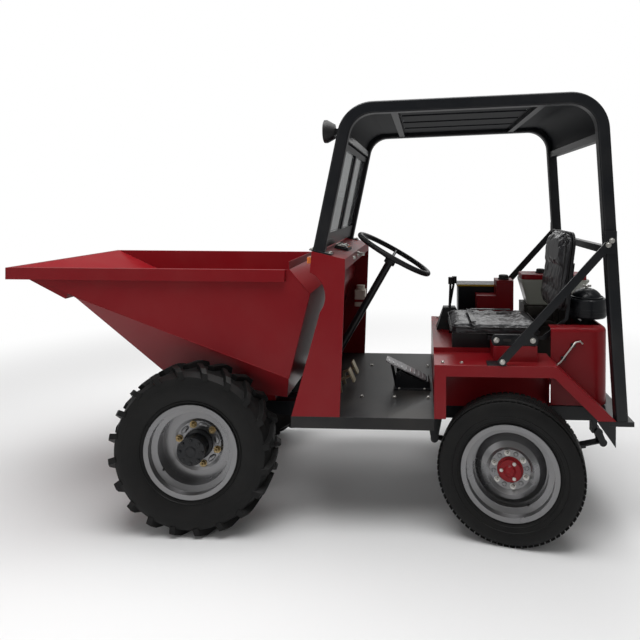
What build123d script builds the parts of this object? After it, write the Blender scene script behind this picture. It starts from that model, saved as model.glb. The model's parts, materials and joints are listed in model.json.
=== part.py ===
"""Site dumper: front skip, drive axle in front, steered axle behind, roll-over frame.

The machine drives towards -X, its left side is at -Y and Z points up from the ground.
The origin is on the ground in the middle of the machine's length and width.
"""
import os
from math import atan2, cos, degrees, hypot, radians, sin, tan

from build123d import *

os.makedirs("parts", exist_ok=True)

# ---------------------------------------------------------------- driving dimensions (mm)
# Running gear
front_axle_x = -534
wheelbase = 1513
front_tyre_radius = 395
front_tyre_width = 172
front_track = 1066
rear_tyre_radius = 335
rear_tyre_width = 140
rear_track = 1114
bead_seat_radius = 203
rim_flange_radius = 222
rim_well_radius = 172
rim_sheet = 4
front_rim_width = 122
rear_rim_width = 104
lug_height = 24
lug_count = 20
lug_width = 27
lug_slant = 62
steer_rest_deg = -12
kingpin_span = 860
kingpin_radius = 12
spindle_radius = 22
steer_arm = 110

# Fits and plate
running_gap = 0.05
seat_gap = 0.3
sheet = 3
plate_steel = 8

# Chassis, with the places behind the seat measured from the rear axle
rail_top = 530
rail_height = 70
rail_width = 50
rail_wall = 6
rail_outer_span = 590
rail_front_x = -855
rear_overhang = 454
post_behind_axle = 491

# Deck, console and fenders
deck_top = 552
deck_plate = 4
deck_edge_height = 55
deck_front_x = -75
deck_rear_x = 600
body_width = 1090
console_top_z = 1331
console_slope = 36
console_top_front_x = 20
console_rear_x = 178
console_foot_rear_x = 156
console_lip = 52
fender_top = 803
fender_band = 52
fender_run = 191
fender_inner_span = 626
slant_foot_run = 458
pedestal_half_width = 310
pedestal_top = 825

# Operator's station and engine
seat_y = -140
cushion_length = 460
cushion_width = 420
cushion_thick = 58
cushion_front_x = 684
cushion_top = 958
back_height = 410
back_rise = 58
back_thick = 66
back_lean = 7
column_lean = 29.5
wheel_centre = (388, 1283)
steering_wheel_radius = 224
steering_wheel_tube = 14
column_radius = 20
engine_y = 215
engine_length = 270
engine_width = 170
engine_top = 965
engine_behind_axle = 293
hood_front_run = 197
hood_length = 288
hood_bottom = 566
hood_top = 950
hood_half_width = 380
cleaner_radius = 98
cleaner_y = -200

# Skip
skip_rim_top = 1234
skip_rim_height = 58
skip_rim_thickness = 22
skip_width = 980
skip_front_x = -1507
skip_rear_x = -125
skip_shell_rear_x = -105
upstand_height = 38
skip_wall = 4
skip_bottom = 580
skip_knee = (-3, 1117)
skip_crease_front = (-1172, 1090)
skip_crease_rear_z = 703
skip_bottom_front_x = -760
skip_bottom_rear_x = -136
skip_bottom_rear_width = 746
skip_pivot = (-805, 495)
skip_pivot_radius = 16

# Tipping cylinder, pinned to the chassis at its base and to the skip at its eye
cylinder_base = (75, 362)
cylinder_eye = (-505, 530)
cylinder_pin_radius = 12
barrel_radius = 30
barrel_wall = 5
rod_radius = 16

# Roll-over frame
hoop_tube = 57
hoop_outer_span = 1080
hoop_bend = 150
front_post_lean = 11.5
rear_post_lean = 3.8
roof_front_z = 2035
roof_rear_z = 2087
canopy_front_z = 1896
canopy_bend = 130
canopy_rear_z = 1895
back_bar_z = 1342
brace_thick = 8

# ---------------------------------------------------------------- shared places
rear_axle_x = front_axle_x + wheelbase
rail_rear_x = rear_axle_x + rear_overhang
post_foot_x = rear_axle_x + post_behind_axle
fender_rear_x = rear_axle_x + fender_run
slant_foot_x = rear_axle_x + slant_foot_run
engine_x = rear_axle_x + engine_behind_axle
hood_front_x = rear_axle_x + hood_front_run
hood_rear_x = hood_front_x + hood_length
half_rail = rail_outer_span / 2
rail_y = half_rail - rail_width / 2
rail_bottom = rail_top - rail_height
half_body = body_width / 2
half_hoop = hoop_outer_span / 2
hoop_y = half_hoop - hoop_tube / 2
post_inner = half_hoop - hoop_tube - seat_gap
SIDES = (("left", -1), ("right", 1))


def side_plane(y):
    """Plane of the machine's side view at this y, with X to the right and Z up."""
    return Plane((0, y, 0), x_dir=(1, 0, 0), z_dir=(0, -1, 0))


def outline(points):
    """Close a list of points into the face of the sketch that is being built."""
    Polygon(*points, align=None)


def plate(points, y, thickness, mode=Mode.ADD):
    """Cut a side-view outline from plate that reaches from this y towards +Y."""
    face = Face(Wire.make_polygon([(x, z, 0) for x, z in points], close=True))
    extrude(side_plane(y + thickness) * face, amount=thickness, dir=(0, -1, 0), mode=mode)


def bar(place, radius, y, length, mode=Mode.ADD):
    """Lay a round bar, or bore a round hole, across the machine from this y towards +Y."""
    face = Face(Wire.make_circle(radius, Plane((*place, 0))))
    extrude(side_plane(y + length) * face, amount=length, mode=mode)


def block(x, y, z, mode=Mode.ADD):
    """Square block between pairs of faces, each pair given as low and high."""
    with Locations(((x[0] + x[1]) / 2, (y[0] + y[1]) / 2, (z[0] + z[1]) / 2)):
        Box(x[1] - x[0], y[1] - y[0], z[1] - z[0], mode=mode)


def pipe(start, end, radius, mode=Mode.ADD):
    """Straight round bar from one point to another."""
    way = Vector(*end) - Vector(*start)
    extrude(Face(Wire.make_circle(radius, Plane(start, z_dir=way))), amount=way.length, mode=mode)


def wheel_planes(centre, outward):
    """The plane through a wheel's axle that a section is drawn in, and the wheel's own plane."""
    section = Plane(centre, x_dir=outward, z_dir=Vector(*outward).cross(Vector(0, 0, 1)))
    disc = Plane(centre, x_dir=(0, 0, 1), z_dir=outward)
    return section, disc


def circle_through(p, q, r):
    """Centre and radius of the circle through three points."""
    (ax, ay), (bx, by), (cx, cy) = p, q, r
    d = 2 * (ax * (by - cy) + bx * (cy - ay) + cx * (ay - by))
    a2, b2, c2 = ax * ax + ay * ay, bx * bx + by * by, cx * cx + cy * cy
    ux = (a2 * (by - cy) + b2 * (cy - ay) + c2 * (ay - by)) / d
    uy = (a2 * (cx - bx) + b2 * (ax - cx) + c2 * (bx - ax)) / d
    return (ux, uy), hypot(ax - ux, ay - uy)


# ================================================================ wheels
def rim_section(half_width, disc_points):
    """Section of a drop-centre rim with its disc, from the outer lip to the hub seat."""
    lip = rim_flange_radius
    lip_edge = half_width + 6
    seat = bead_seat_radius - rim_sheet
    outside = [
        (lip_edge, lip),
        (half_width, lip),
        (half_width, bead_seat_radius),
        (half_width - 26, bead_seat_radius),
        (half_width - 34, rim_well_radius + rim_sheet),
        (34 - half_width, rim_well_radius + rim_sheet),
        (26 - half_width, bead_seat_radius),
        (-half_width, bead_seat_radius),
        (-half_width, lip),
        (-lip_edge, lip),
    ]
    inside = [
        (-lip_edge, seat),
        (24 - half_width, seat),
        (32 - half_width, rim_well_radius),
        *disc_points,
        (half_width - 32, rim_well_radius),
        (half_width - 24, seat),
        (lip_edge, seat),
    ]
    outline(outside + inside)


def tyre_section(half_width, crown, shoulder_drop, tread_half, bead_half):
    """Tyre section with upright beads between the rim flanges and rounded walls above them."""
    shoulder = crown - shoulder_drop
    crown_half = tread_half * 0.55
    seat = bead_seat_radius + seat_gap
    bead_top = rim_flange_radius + 4
    bulge = (bead_top + shoulder) / 2
    with BuildLine() as wall:
        Polyline((-tread_half, shoulder), (-crown_half, crown), (crown_half, crown), (tread_half, shoulder))
        ThreePointArc((tread_half, shoulder), (half_width, bulge), (bead_half, bead_top))
        Polyline((bead_half, bead_top), (bead_half, seat), (-bead_half, seat), (-bead_half, bead_top))
        ThreePointArc((-bead_half, bead_top), (-half_width, bulge), (-tread_half, shoulder))
    make_face(wall.edges())


front_half = front_tyre_width / 2
tread_root = front_tyre_radius - lug_height
lug_reach = front_half - 2
lug_foot = 34
lug_overlap = 8
shoulder_cut = 14
front_hub_seat = -34
front_hub_hole = 72
slot_count = 4
slot_radius = 160
slot_sweep = 42
slot_height = 13

# One lug of the drive tyre: radial X, around the tyre Y, across the tyre Z
with BuildPart() as lug:
    with BuildSketch(Plane((tread_root - lug_foot, 0, 0), x_dir=(0, 0, 1), z_dir=(1, 0, 0))):
        outline([
            (-lug_overlap, 0),
            (lug_reach, lug_slant),
            (lug_reach, lug_slant + lug_width),
            (-lug_overlap, lug_width),
        ])
    extrude(amount=lug_foot + lug_height)

for side, s in SIDES:
    hub = (front_axle_x, s * front_track / 2, front_tyre_radius)
    section, disc = wheel_planes(hub, (0, s, 0))
    axle_line = Axis(hub, (0, s, 0))

    with BuildPart() as lugs:
        with Locations(disc):
            with PolarLocations(0, lug_count):
                add(lug.part)
            with PolarLocations(0, lug_count, start_angle=180 / lug_count):
                add(lug.part.mirror(Plane.XY))
        with BuildSketch(section):
            outline([
                (-lug_reach, tread_root - lug_foot),
                (lug_reach, tread_root - lug_foot),
                (lug_reach, front_tyre_radius - shoulder_cut),
                (lug_reach - 26, front_tyre_radius),
                (26 - lug_reach, front_tyre_radius),
                (-lug_reach, front_tyre_radius - shoulder_cut),
            ])
        revolve(axis=axle_line, mode=Mode.INTERSECT)

    with BuildPart() as front_tyre:
        with BuildSketch(section):
            tyre_section(front_half, tread_root, 16, front_half - 8, front_rim_width / 2 - seat_gap)
        revolve(axis=axle_line)
        add(lugs.part)
    front_tyre.part.label = f"front_tyre_{side}"
    export_step(front_tyre.part, f"parts/front_tyre_{side}.step")

    # Deep-set disc, welded to the rim between four crescent slots
    with BuildPart() as front_rim:
        with BuildSketch(section):
            rim_section(front_rim_width / 2, [
                (-26, rim_well_radius),
                (-26, 128),
                (front_hub_seat, 112),
                (front_hub_seat, front_hub_hole),
                (front_hub_seat + 6, front_hub_hole),
                (front_hub_seat + 6, 110),
                (-20, 126),
                (-20, rim_well_radius),
            ])
        revolve(axis=axle_line)
        with BuildSketch(disc.offset(-40)):
            for number in range(slot_count):
                start = 360 / slot_count * number + 23
                SlotArc(CenterArc((0, 0), slot_radius, start, slot_sweep), height=slot_height)
        extrude(amount=40, mode=Mode.SUBTRACT)
    front_rim.part.label = f"front_rim_{side}"
    export_step(front_rim.part, f"parts/front_rim_{side}.step")

    # Hub with a drive flange that stands out as far as the rim's lip
    with BuildPart() as front_hub:
        with BuildSketch(section):
            outline([
                (-96, spindle_radius + running_gap),
                (-96, 46),
                (-60, 46),
                (-60, 108),
                (front_hub_seat - seat_gap, 108),
                (front_hub_seat - seat_gap, front_hub_hole - seat_gap),
                (-14, front_hub_hole - seat_gap),
                (-8, 60),
                (44, 56),
                (44, 66),
                (60, 66),
                (60, 26),
                (64, 20),
                (64, 0),
                (18, 0),
                (18, spindle_radius + running_gap),
            ])
        revolve(axis=axle_line)
    front_hub.part.label = f"front_hub_{side}"
    export_step(front_hub.part, f"parts/front_hub_{side}.step")

steer_turn = radians(steer_rest_deg)
axle_direction = Vector(-sin(steer_turn), cos(steer_turn), 0)
rear_half = rear_tyre_width / 2
rear_offset = (rear_track - kingpin_span) / 2
rear_hub_seat = 8
rear_hub_hole = 60
fork_reach = 44
fork_plate = 13.5
fork_radius = 24
beam = 60
ram_x = rear_axle_x + 106
ram_z = rear_tyre_radius + fork_reach + seat_gap + 10
ram_radius = 26
ram_half_length = 150
steer_rod_radius = 9

for side, s in SIDES:
    outward = (s * axle_direction.X, s * axle_direction.Y, 0)
    kingpin = Vector(rear_axle_x, s * kingpin_span / 2, rear_tyre_radius)
    hub = kingpin + Vector(*outward) * rear_offset
    section, disc = wheel_planes(tuple(hub), outward)
    axle_line = Axis(tuple(hub), outward)

    # Ribbed steering tyre with three grooves around it
    with BuildPart() as rear_tyre:
        with BuildSketch(section):
            tyre_section(rear_half, rear_tyre_radius, 12, rear_half - 12, rear_rim_width / 2 - seat_gap)
            with Locations(*[(u, rear_tyre_radius - 3) for u in (-30, 0, 30)]):
                Rectangle(7, 14, mode=Mode.SUBTRACT)
        revolve(axis=axle_line)
    rear_tyre.part.label = f"rear_tyre_{side}"
    export_step(rear_tyre.part, f"parts/rear_tyre_{side}.step")

    # Domed disc with a raised ring around the hub
    with BuildPart() as rear_rim:
        with BuildSketch(section):
            rim_section(rear_rim_width / 2, [
                (-18, rim_well_radius),
                (-18, 160),
                (10, 132),
                (22, 110),
                (rear_hub_seat, 94),
                (rear_hub_seat, rear_hub_hole),
                (rear_hub_seat + 6, rear_hub_hole),
                (rear_hub_seat + 6, 92),
                (28, 109),
                (16, 134),
                (-12, 164),
                (-12, rim_well_radius),
            ])
        revolve(axis=axle_line)
    rear_rim.part.label = f"rear_rim_{side}"
    export_step(rear_rim.part, f"parts/rear_rim_{side}.step")

    with BuildPart() as rear_hub:
        with BuildSketch(section):
            outline([
                (-52, spindle_radius + running_gap),
                (-52, 42),
                (-10, 42),
                (-10, 90),
                (rear_hub_seat - seat_gap, 90),
                (rear_hub_seat - seat_gap, rear_hub_hole - seat_gap),
                (14, rear_hub_hole - seat_gap),
                (18, 50),
                (30, 50),
                (30, 27),
                (38, 20),
                (42, 0),
                (34, 0),
                (34, spindle_radius - 6),
                (28, spindle_radius + running_gap),
            ])
        revolve(axis=axle_line)
    rear_hub.part.label = f"rear_hub_{side}"
    export_step(rear_hub.part, f"parts/rear_hub_{side}.step")

    # Knuckle: a fork over the beam's eye, its kingpin, the wheel spindle and the steering arm
    fork_plane = Plane(tuple(kingpin), x_dir=Vector(*outward).cross(Vector(0, 0, 1)) * s, z_dir=(0, 0, 1))
    with BuildPart() as knuckle:
        for z in (-fork_reach, fork_reach - fork_plate):
            with BuildSketch(fork_plane.offset(z)):
                Circle(fork_radius)
                with Locations((0, s * 18)):
                    Rectangle(2 * fork_radius, 36)
            extrude(amount=fork_plate)
        with BuildSketch(fork_plane.offset(-fork_reach)):
            with Locations((0, s * 34)):
                Rectangle(2 * fork_radius, 16)
        extrude(amount=2 * fork_reach)
        with BuildSketch(fork_plane.offset(-fork_reach)):
            Circle(kingpin_radius)
        extrude(amount=2 * fork_reach)
        pipe(tuple(kingpin + Vector(*outward) * 42), tuple(hub + Vector(*outward) * 27), spindle_radius)
        with BuildSketch(fork_plane.offset(fork_reach - fork_plate)):
            outline([(0, 20), (0, -20), (steer_arm, -14), (steer_arm, 14)])
            with Locations((steer_arm, 0)):
                Circle(18)
        extrude(amount=fork_plate)
    knuckle.part.label = f"knuckle_{side}"
    export_step(knuckle.part, f"parts/knuckle_{side}.step")

# ================================================================ axles and springs
diff_y = 150
diff_radius = 95
with BuildPart() as front_axle:
    stub_y = front_track / 2 - 96
    front_hub_line = (front_axle_x, front_tyre_radius)
    bar(front_hub_line, 40, 6 - stub_y, 2 * (stub_y - 6))
    bar(front_hub_line, spindle_radius, -stub_y - 110, 2 * (stub_y + 110))
    # Differential housing, offset to the right of the tipping cylinder
    with Locations((front_axle_x, diff_y, front_tyre_radius)):
        Sphere(diff_radius)
    pipe((front_axle_x, diff_y, front_tyre_radius), (front_axle_x + 125, diff_y, front_tyre_radius), 48)
    # Saddles up to the rails
    for s in (-1, 1):
        with BuildSketch(Plane((front_axle_x, s * rail_y, front_tyre_radius))):
            Rectangle(110, rail_width)
        with BuildSketch(Plane((front_axle_x, s * rail_y, rail_bottom - seat_gap))):
            Rectangle(150, rail_width)
        loft()
front_axle.part.label = "front_axle"
export_step(front_axle.part, "parts/front_axle.step")

# Leaf springs under the rear beam, from a fixed front eye to a shackle behind
spring_width = 48
leaf = 8
leaf_shares = (1.0, 0.82, 0.6, 0.38)
spring_seat_z = rear_tyre_radius - beam / 2 - 2
front_eye = (rear_axle_x - 372, 354)
rear_eye = (rear_axle_x + 480, 351)
shackle_top = (rear_eye[0] - 21, 402)
eye_radius = 18
eye_pin_radius = 9
link_plate = 8
link_gap = 1
bolt_radius = 6

# Rear beam with its kingpin eyes, spring clamps and the steering ram's barrel
with BuildPart() as rear_axle:
    with Locations((rear_axle_x, 0, rear_tyre_radius)):
        Box(beam, kingpin_span, beam)
    for s in (-1, 1):
        eye_floor = Plane((rear_axle_x, s * kingpin_span / 2, rear_tyre_radius - beam / 2))
        with BuildSketch(eye_floor):
            Circle(fork_radius)
        extrude(amount=beam)
        with BuildSketch(eye_floor):
            with Locations((0, s * 15)):
                Rectangle(beam + 2, 30)
            Circle(fork_radius, mode=Mode.SUBTRACT)
        extrude(amount=beam, mode=Mode.SUBTRACT)
        with BuildSketch(eye_floor):
            Circle(kingpin_radius + running_gap)
        extrude(amount=beam, mode=Mode.SUBTRACT)
        # U-bolts over the beam with their plate under the spring
        clamp_z = spring_seat_z - len(leaf_shares) * leaf - 1.2
        clamp_y = spring_width / 2 + bolt_radius + 1
        block(
            (rear_axle_x - 48, rear_axle_x + 48),
            (s * rail_y - clamp_y - 10, s * rail_y + clamp_y + 10),
            (clamp_z - plate_steel, clamp_z),
        )
        bolt_run = beam / 2 + bolt_radius - 1
        bolt_top = rear_tyre_radius + bolt_run
        for y in (s * rail_y - clamp_y, s * rail_y + clamp_y):
            pipe((rear_axle_x - bolt_run, y, bolt_top), (rear_axle_x + bolt_run, y, bolt_top), bolt_radius)
            for x in (rear_axle_x - bolt_run, rear_axle_x + bolt_run):
                pipe((x, y, clamp_z - 16), (x, y, bolt_top + 1), bolt_radius)
    bar((ram_x, ram_z), ram_radius, -ram_half_length, 2 * ram_half_length)
    for y in (-118, 102):
        plate([
            (rear_axle_x + beam / 2, rear_tyre_radius - beam / 2),
            (rear_axle_x + beam / 2, rear_tyre_radius + beam / 2),
            (ram_x - 12, ram_z + 20),
            (ram_x + 12, ram_z - 20),
        ], y, 16)
    bar((ram_x, ram_z), steer_rod_radius + running_gap, -ram_half_length, 2 * ram_half_length, Mode.SUBTRACT)
rear_axle.part.label = "rear_axle"
export_step(rear_axle.part, "parts/rear_axle.step")

spring_centre, spring_radius = circle_through(front_eye, (rear_axle_x, spring_seat_z - leaf / 2), rear_eye)


def angle_on_spring(x, z):
    """Direction of a place as seen from the centre of the springs' curve."""
    return degrees(atan2(z - spring_centre[1], x - spring_centre[0]))


front_angle = angle_on_spring(*front_eye)
rear_angle = angle_on_spring(*rear_eye)
seat_angle = angle_on_spring(rear_axle_x, spring_seat_z)

for side, s in SIDES:
    with BuildPart() as leaf_spring:
        with BuildSketch(side_plane(s * rail_y + spring_width / 2)):
            for number, share in enumerate(leaf_shares):
                low = seat_angle + (front_angle - seat_angle) * share
                high = seat_angle + (rear_angle - seat_angle) * share
                near = spring_radius - leaf / 2 + number * leaf
                with BuildLine() as blade:
                    inner_arc = CenterArc(spring_centre, near, low, high - low)
                    outer_arc = CenterArc(spring_centre, near + leaf, low, high - low)
                    Line(inner_arc @ 0, outer_arc @ 0)
                    Line(inner_arc @ 1, outer_arc @ 1)
                make_face(blade.edges())
            with Locations(front_eye, rear_eye):
                Circle(eye_radius)
            with Locations(front_eye, rear_eye):
                Circle(eye_pin_radius + running_gap, mode=Mode.SUBTRACT)
        extrude(amount=spring_width)
    leaf_spring.part.label = f"leaf_spring_{side}"
    export_step(leaf_spring.part, f"parts/leaf_spring_{side}.step")

rod_shift = steer_arm * sin(steer_turn)
rod_half = kingpin_span / 2 + 4
with BuildPart() as steering_rod:
    bar((ram_x, ram_z), steer_rod_radius, rod_shift - rod_half, 2 * rod_half)
    for s in (-1, 1):
        with BuildSketch(Plane((ram_x, s * kingpin_span / 2 + rod_shift, ram_z - 10))):
            Circle(17)
        extrude(amount=20)
steering_rod.part.label = "steering_rod"
export_step(steering_rod.part, "parts/steering_rod.step")

# ================================================================ chassis
member_z = (rail_bottom + rail_wall, rail_top - rail_wall)
member_y = (rail_width - half_rail - rail_wall, half_rail - rail_width + rail_wall)
gearbox_front_x = front_eye[0] + 70
hinge_x = hood_rear_x + 10
hinge_z = hood_bottom
hinge_ear_radius = 8
hinge_pin_radius = 4
hinge_ys = (-250, 250)
foot_beam_x = (rail_rear_x - 24, post_foot_x + 53)
jaw_x = hood_rear_x + 26
jaw_bore_radius = 12.5
with BuildPart() as chassis_frame:
    for s in (-1, 1):
        with BuildSketch(Plane((rail_front_x, 0, 0), x_dir=(0, 1, 0), z_dir=(1, 0, 0))):
            with Locations((s * rail_y, rail_top - rail_height / 2)):
                Rectangle(rail_width, rail_height)
            with Locations((s * (rail_y - rail_wall), rail_top - rail_height / 2)):
                Rectangle(rail_width - rail_wall, rail_height - 2 * rail_wall, mode=Mode.SUBTRACT)
        extrude(amount=rail_rear_x - rail_front_x)
    for x, half_width in (
        (skip_pivot[0] + 140, 20),
        (cylinder_base[0] + 60, 25),
        (gearbox_front_x - 25, 25),
        (rail_rear_x - 30, 30),
    ):
        block((x - half_width, x + half_width), member_y, member_z)
    # Spring hangers, shackles and pins
    hanger_top = (front_eye[0], rail_bottom + 30)
    link_ys = (-spring_width / 2 - link_gap - link_plate, spring_width / 2 + link_gap)
    pin_reach = spring_width / 2 + link_gap + link_plate
    for s in (-1, 1):
        for y in link_ys:
            for eye, top, spread in ((front_eye, hanger_top, 44), (rear_eye, shackle_top, eye_radius)):
                plate([
                    (eye[0] - eye_radius, eye[1]),
                    (top[0] - spread, top[1]),
                    (top[0] + spread, top[1]),
                    (eye[0] + eye_radius, eye[1]),
                ], s * rail_y + y, link_plate)
                bar(eye, eye_radius + 2, s * rail_y + y, link_plate)
            bar(shackle_top, eye_radius + 2, s * rail_y + y, link_plate)
        for eye in (front_eye, rear_eye, shackle_top):
            bar(eye, eye_pin_radius, s * rail_y - pin_reach, 2 * pin_reach)
        block(
            (shackle_top[0] - eye_radius - 14, shackle_top[0] - 6),
            (s * rail_y - 24, s * rail_y + 24),
            (shackle_top[1] - 6, rail_bottom),
        )
        bar(shackle_top, eye_radius, s * rail_y - 24, 48)
    # Nose shaft that the skip turns on
    bar(skip_pivot, skip_pivot_radius, -half_rail - 6, 2 * half_rail + 12)
    bar(skip_pivot, skip_pivot_radius + 12, -150, 300)
    # Ears and pin of the tipping cylinder's base
    base_x, base_z = cylinder_base
    for y in (-43, 33):
        plate([
            (base_x - 28, base_z),
            (base_x + 40, member_z[0]),
            (base_x + 85, member_z[0]),
            (base_x + 28, base_z),
        ], y, 10)
        bar(cylinder_base, 28, y, 10)
    bar(cylinder_base, cylinder_pin_radius, -44, 88)
    # Outriggers that carry the deck, and the beam under the rear feet of the roll-over frame
    for x in (deck_front_x + 30, deck_front_x + 330, deck_rear_x - 25):
        block((x - 20, x + 20), (6 - half_body, half_body - 6), (rail_top, deck_top - deck_plate))
    block(foot_beam_x, (-half_hoop, half_hoop), (rail_top, deck_top))
    block((jaw_x - 26, foot_beam_x[1] + 1), (-75, 75), (rail_top - 1, deck_top + 1), Mode.SUBTRACT)
    # Hinge ears and pins of the rear hood
    for y in hinge_ys:
        for t in (-20, 14):
            ear_x = (hinge_x - hinge_ear_radius, hinge_x + hinge_ear_radius)
            block(ear_x, (y + t, y + t + 6), (deck_top, hinge_z))
            bar((hinge_x, hinge_z), hinge_ear_radius, y + t, 6)
        bar((hinge_x, hinge_z), hinge_pin_radius, y - 20, 40)
chassis_frame.part.label = "chassis_frame"
export_step(chassis_frame.part, "parts/chassis_frame.step")

# Rear cross plate with its side gussets and the tow jaw
plate_x = (rail_rear_x + seat_gap, rail_rear_x + seat_gap + 6)
gusset_x = rail_rear_x - 80
gusset_bottom = 431
jaw_low_z = 462
jaw_high_z = 502
with BuildPart() as rear_bumper:
    block(plate_x, (-half_hoop, half_hoop), (rail_bottom, rail_top - seat_gap))
    for y in (-half_hoop, half_hoop - plate_steel):
        plate([
            (gusset_x, deck_top),
            (foot_beam_x[0] - seat_gap, deck_top),
            (foot_beam_x[0] - seat_gap, rail_top - seat_gap),
            (plate_x[1], rail_top - seat_gap),
            (plate_x[1], gusset_bottom),
        ], y, plate_steel)
    for z in (jaw_low_z, jaw_high_z):
        with BuildSketch(Plane((0, 0, z))):
            outline([(plate_x[1], -50), (jaw_x, -24), (jaw_x, 24), (plate_x[1], 50)])
            with Locations((jaw_x, 0)):
                Circle(24)
                Circle(jaw_bore_radius, mode=Mode.SUBTRACT)
        extrude(amount=10)
rear_bumper.part.label = "rear_bumper"
export_step(rear_bumper.part, "parts/rear_bumper.step")

with BuildPart() as deck:
    block((deck_front_x, deck_rear_x), (-half_body, half_body), (deck_top - deck_plate, deck_top))
    for y in (-half_body, half_body - deck_plate):
        block((deck_front_x, deck_rear_x), (y, y + deck_plate), (deck_top - deck_edge_height, deck_top))
deck.part.label = "deck"
export_step(deck.part, "parts/deck.step")

# Gearbox between the rails, with the drive shaft to the front axle
gearbox_y = (105, 225)
gearbox_top = 640
gearbox_bottom = 405
input_shaft = (gearbox_front_x + 120, 590)
with BuildPart() as gearbox:
    block((gearbox_front_x + seat_gap, gearbox_front_x + 190), gearbox_y, (gearbox_bottom, 500))
    plate([
        (gearbox_front_x + 40, 500),
        (gearbox_front_x + 60, gearbox_top),
        (gearbox_front_x + 180, gearbox_top),
        (gearbox_front_x + 190, 500),
    ], gearbox_y[0] + 15, 90)
    bar(input_shaft, 70, gearbox_y[0] - 40, 34)
    bar(input_shaft, 20, gearbox_y[0] - 8, 30)
gearbox.part.label = "gearbox"
export_step(gearbox.part, "parts/gearbox.step")

shaft_start = Vector(front_axle_x + 125 + seat_gap, diff_y, front_tyre_radius)
shaft_end = Vector(gearbox_front_x, diff_y, gearbox_bottom + 27)
joint_radius = 30
with BuildPart() as drive_shaft:
    pipe(tuple(shaft_start + Vector(10, 0, 0)), tuple(shaft_end - Vector(10, 0, 0)), 20)
    for place in (shaft_start, shaft_end - Vector(40, 0, 0)):
        pipe(tuple(place), tuple(place + Vector(40, 0, 0)), joint_radius)
drive_shaft.part.label = "drive_shaft"
export_step(drive_shaft.part, "parts/drive_shaft.step")

# ================================================================ console
console_top_rear_z = console_top_z - console_slope
lip_bottom_z = console_top_rear_z - console_lip
front_bend = ((61, 1045), (85, 1126), (12, 1231))


def console_face():
    """Side view of the console: sloping front, curved shoulder and overhanging top."""
    with BuildLine() as edge:
        Polyline((console_foot_rear_x, deck_top), (-73, deck_top), front_bend[0])
        ThreePointArc(*front_bend)
        Polyline(
            front_bend[2],
            (console_top_front_x, console_top_z),
            (console_rear_x, console_top_rear_z),
            (console_rear_x + 1, lip_bottom_z),
            (console_foot_rear_x, deck_top),
        )
    make_face(edge.edges())


with BuildPart() as dash_console:
    with BuildSketch(side_plane(half_body)):
        console_face()
    extrude(amount=body_width)
    with BuildSketch(side_plane(half_body - sheet)):
        console_face()
        offset(amount=-sheet, kind=Kind.INTERSECTION)
        # Open at the driver's side and at the foot
        outline([
            (console_foot_rear_x - 40, deck_top - 5),
            (console_foot_rear_x + 60, deck_top - 5),
            (console_foot_rear_x + 60, lip_bottom_z),
            (console_foot_rear_x - 20, lip_bottom_z),
        ])
        outline([
            (-60, deck_top - 5),
            (console_foot_rear_x, deck_top - 5),
            (console_foot_rear_x, deck_top + 20),
            (-60, deck_top + 20),
        ])
    extrude(amount=body_width - 2 * sheet, mode=Mode.SUBTRACT)
dash_console.part.label = "dash_console"
export_step(dash_console.part, "parts/dash_console.step")

top_slope = degrees(atan2(console_slope, console_rear_x - console_top_front_x))
console_top_middle = (console_top_front_x + console_rear_x) / 2
console_top_plane = Plane((console_top_middle, 0, (console_top_z + console_top_rear_z) / 2 + seat_gap))
console_top_plane = console_top_plane.rotated((0, top_slope, 0))
with BuildPart() as instruments:
    with BuildSketch(console_top_plane):
        with Locations((10, seat_y)):
            RectangleRounded(80, 150, 8)
    with BuildSketch(console_top_plane.offset(16)):
        with Locations((10, seat_y)):
            RectangleRounded(68, 138, 8)
    loft()
instruments.part.label = "instruments"
export_step(instruments.part, "parts/instruments.step")

lamp_height = 30
lamp_depth = 22
lamp_width = 60
with BuildPart() as marker_lamps:
    for s in (-1, 1):
        with Locations((front_bend[2][0] - 8.6, s * (half_body - 60), 1285)):
            Box(lamp_depth, lamp_width, lamp_height)
marker_lamps.part.label = "marker_lamps"
export_step(marker_lamps.part, "parts/marker_lamps.step")

column_axis = Vector(sin(radians(column_lean)), 0, cos(radians(column_lean)))
wheel_point = Vector(wheel_centre[0], seat_y, wheel_centre[1])
hub_drop = 62
column_top = wheel_point - column_axis * hub_drop
valve_top = column_top - column_axis * 600
valve_size = 84
with BuildPart() as steering_column:
    pipe(tuple(column_top), tuple(valve_top), column_radius)
    with BuildSketch(Plane(tuple(valve_top), z_dir=tuple(-column_axis))):
        Rectangle(valve_size, valve_size)
    extrude(amount=92)
    block((0, 60), (seat_y - valve_size / 2, seat_y + valve_size / 2), (deck_top + seat_gap, deck_top + 100))
steering_column.part.label = "steering_column"
export_step(steering_column.part, "parts/steering_column.step")

with BuildPart() as steering_wheel:
    rim_circle = steering_wheel_radius - steering_wheel_tube
    wheel_x = Vector(cos(radians(column_lean)), 0, -sin(radians(column_lean)))
    wheel_plane = Plane(tuple(wheel_point), x_dir=tuple(wheel_x), z_dir=tuple(column_axis))
    with BuildSketch(Plane(wheel_plane.origin, x_dir=wheel_plane.x_dir, z_dir=-wheel_plane.y_dir)):
        with Locations((rim_circle, 0)):
            Circle(steering_wheel_tube)
    revolve(axis=Axis(tuple(wheel_point), tuple(column_axis)))
    with BuildSketch(wheel_plane.offset(seat_gap - hub_drop)):
        Circle(30)
    extrude(amount=40)
    for angle in (90, 210, 330):
        spoke_end = Vector(rim_circle * cos(radians(angle)), rim_circle * sin(radians(angle)), 0)
        start = wheel_plane.from_local_coords(Vector(0, 0, -38))
        end = wheel_plane.from_local_coords(spoke_end)
        pipe(tuple(start), tuple(end), 8)
steering_wheel.part.label = "steering_wheel"
export_step(steering_wheel.part, "parts/steering_wheel.step")

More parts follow.
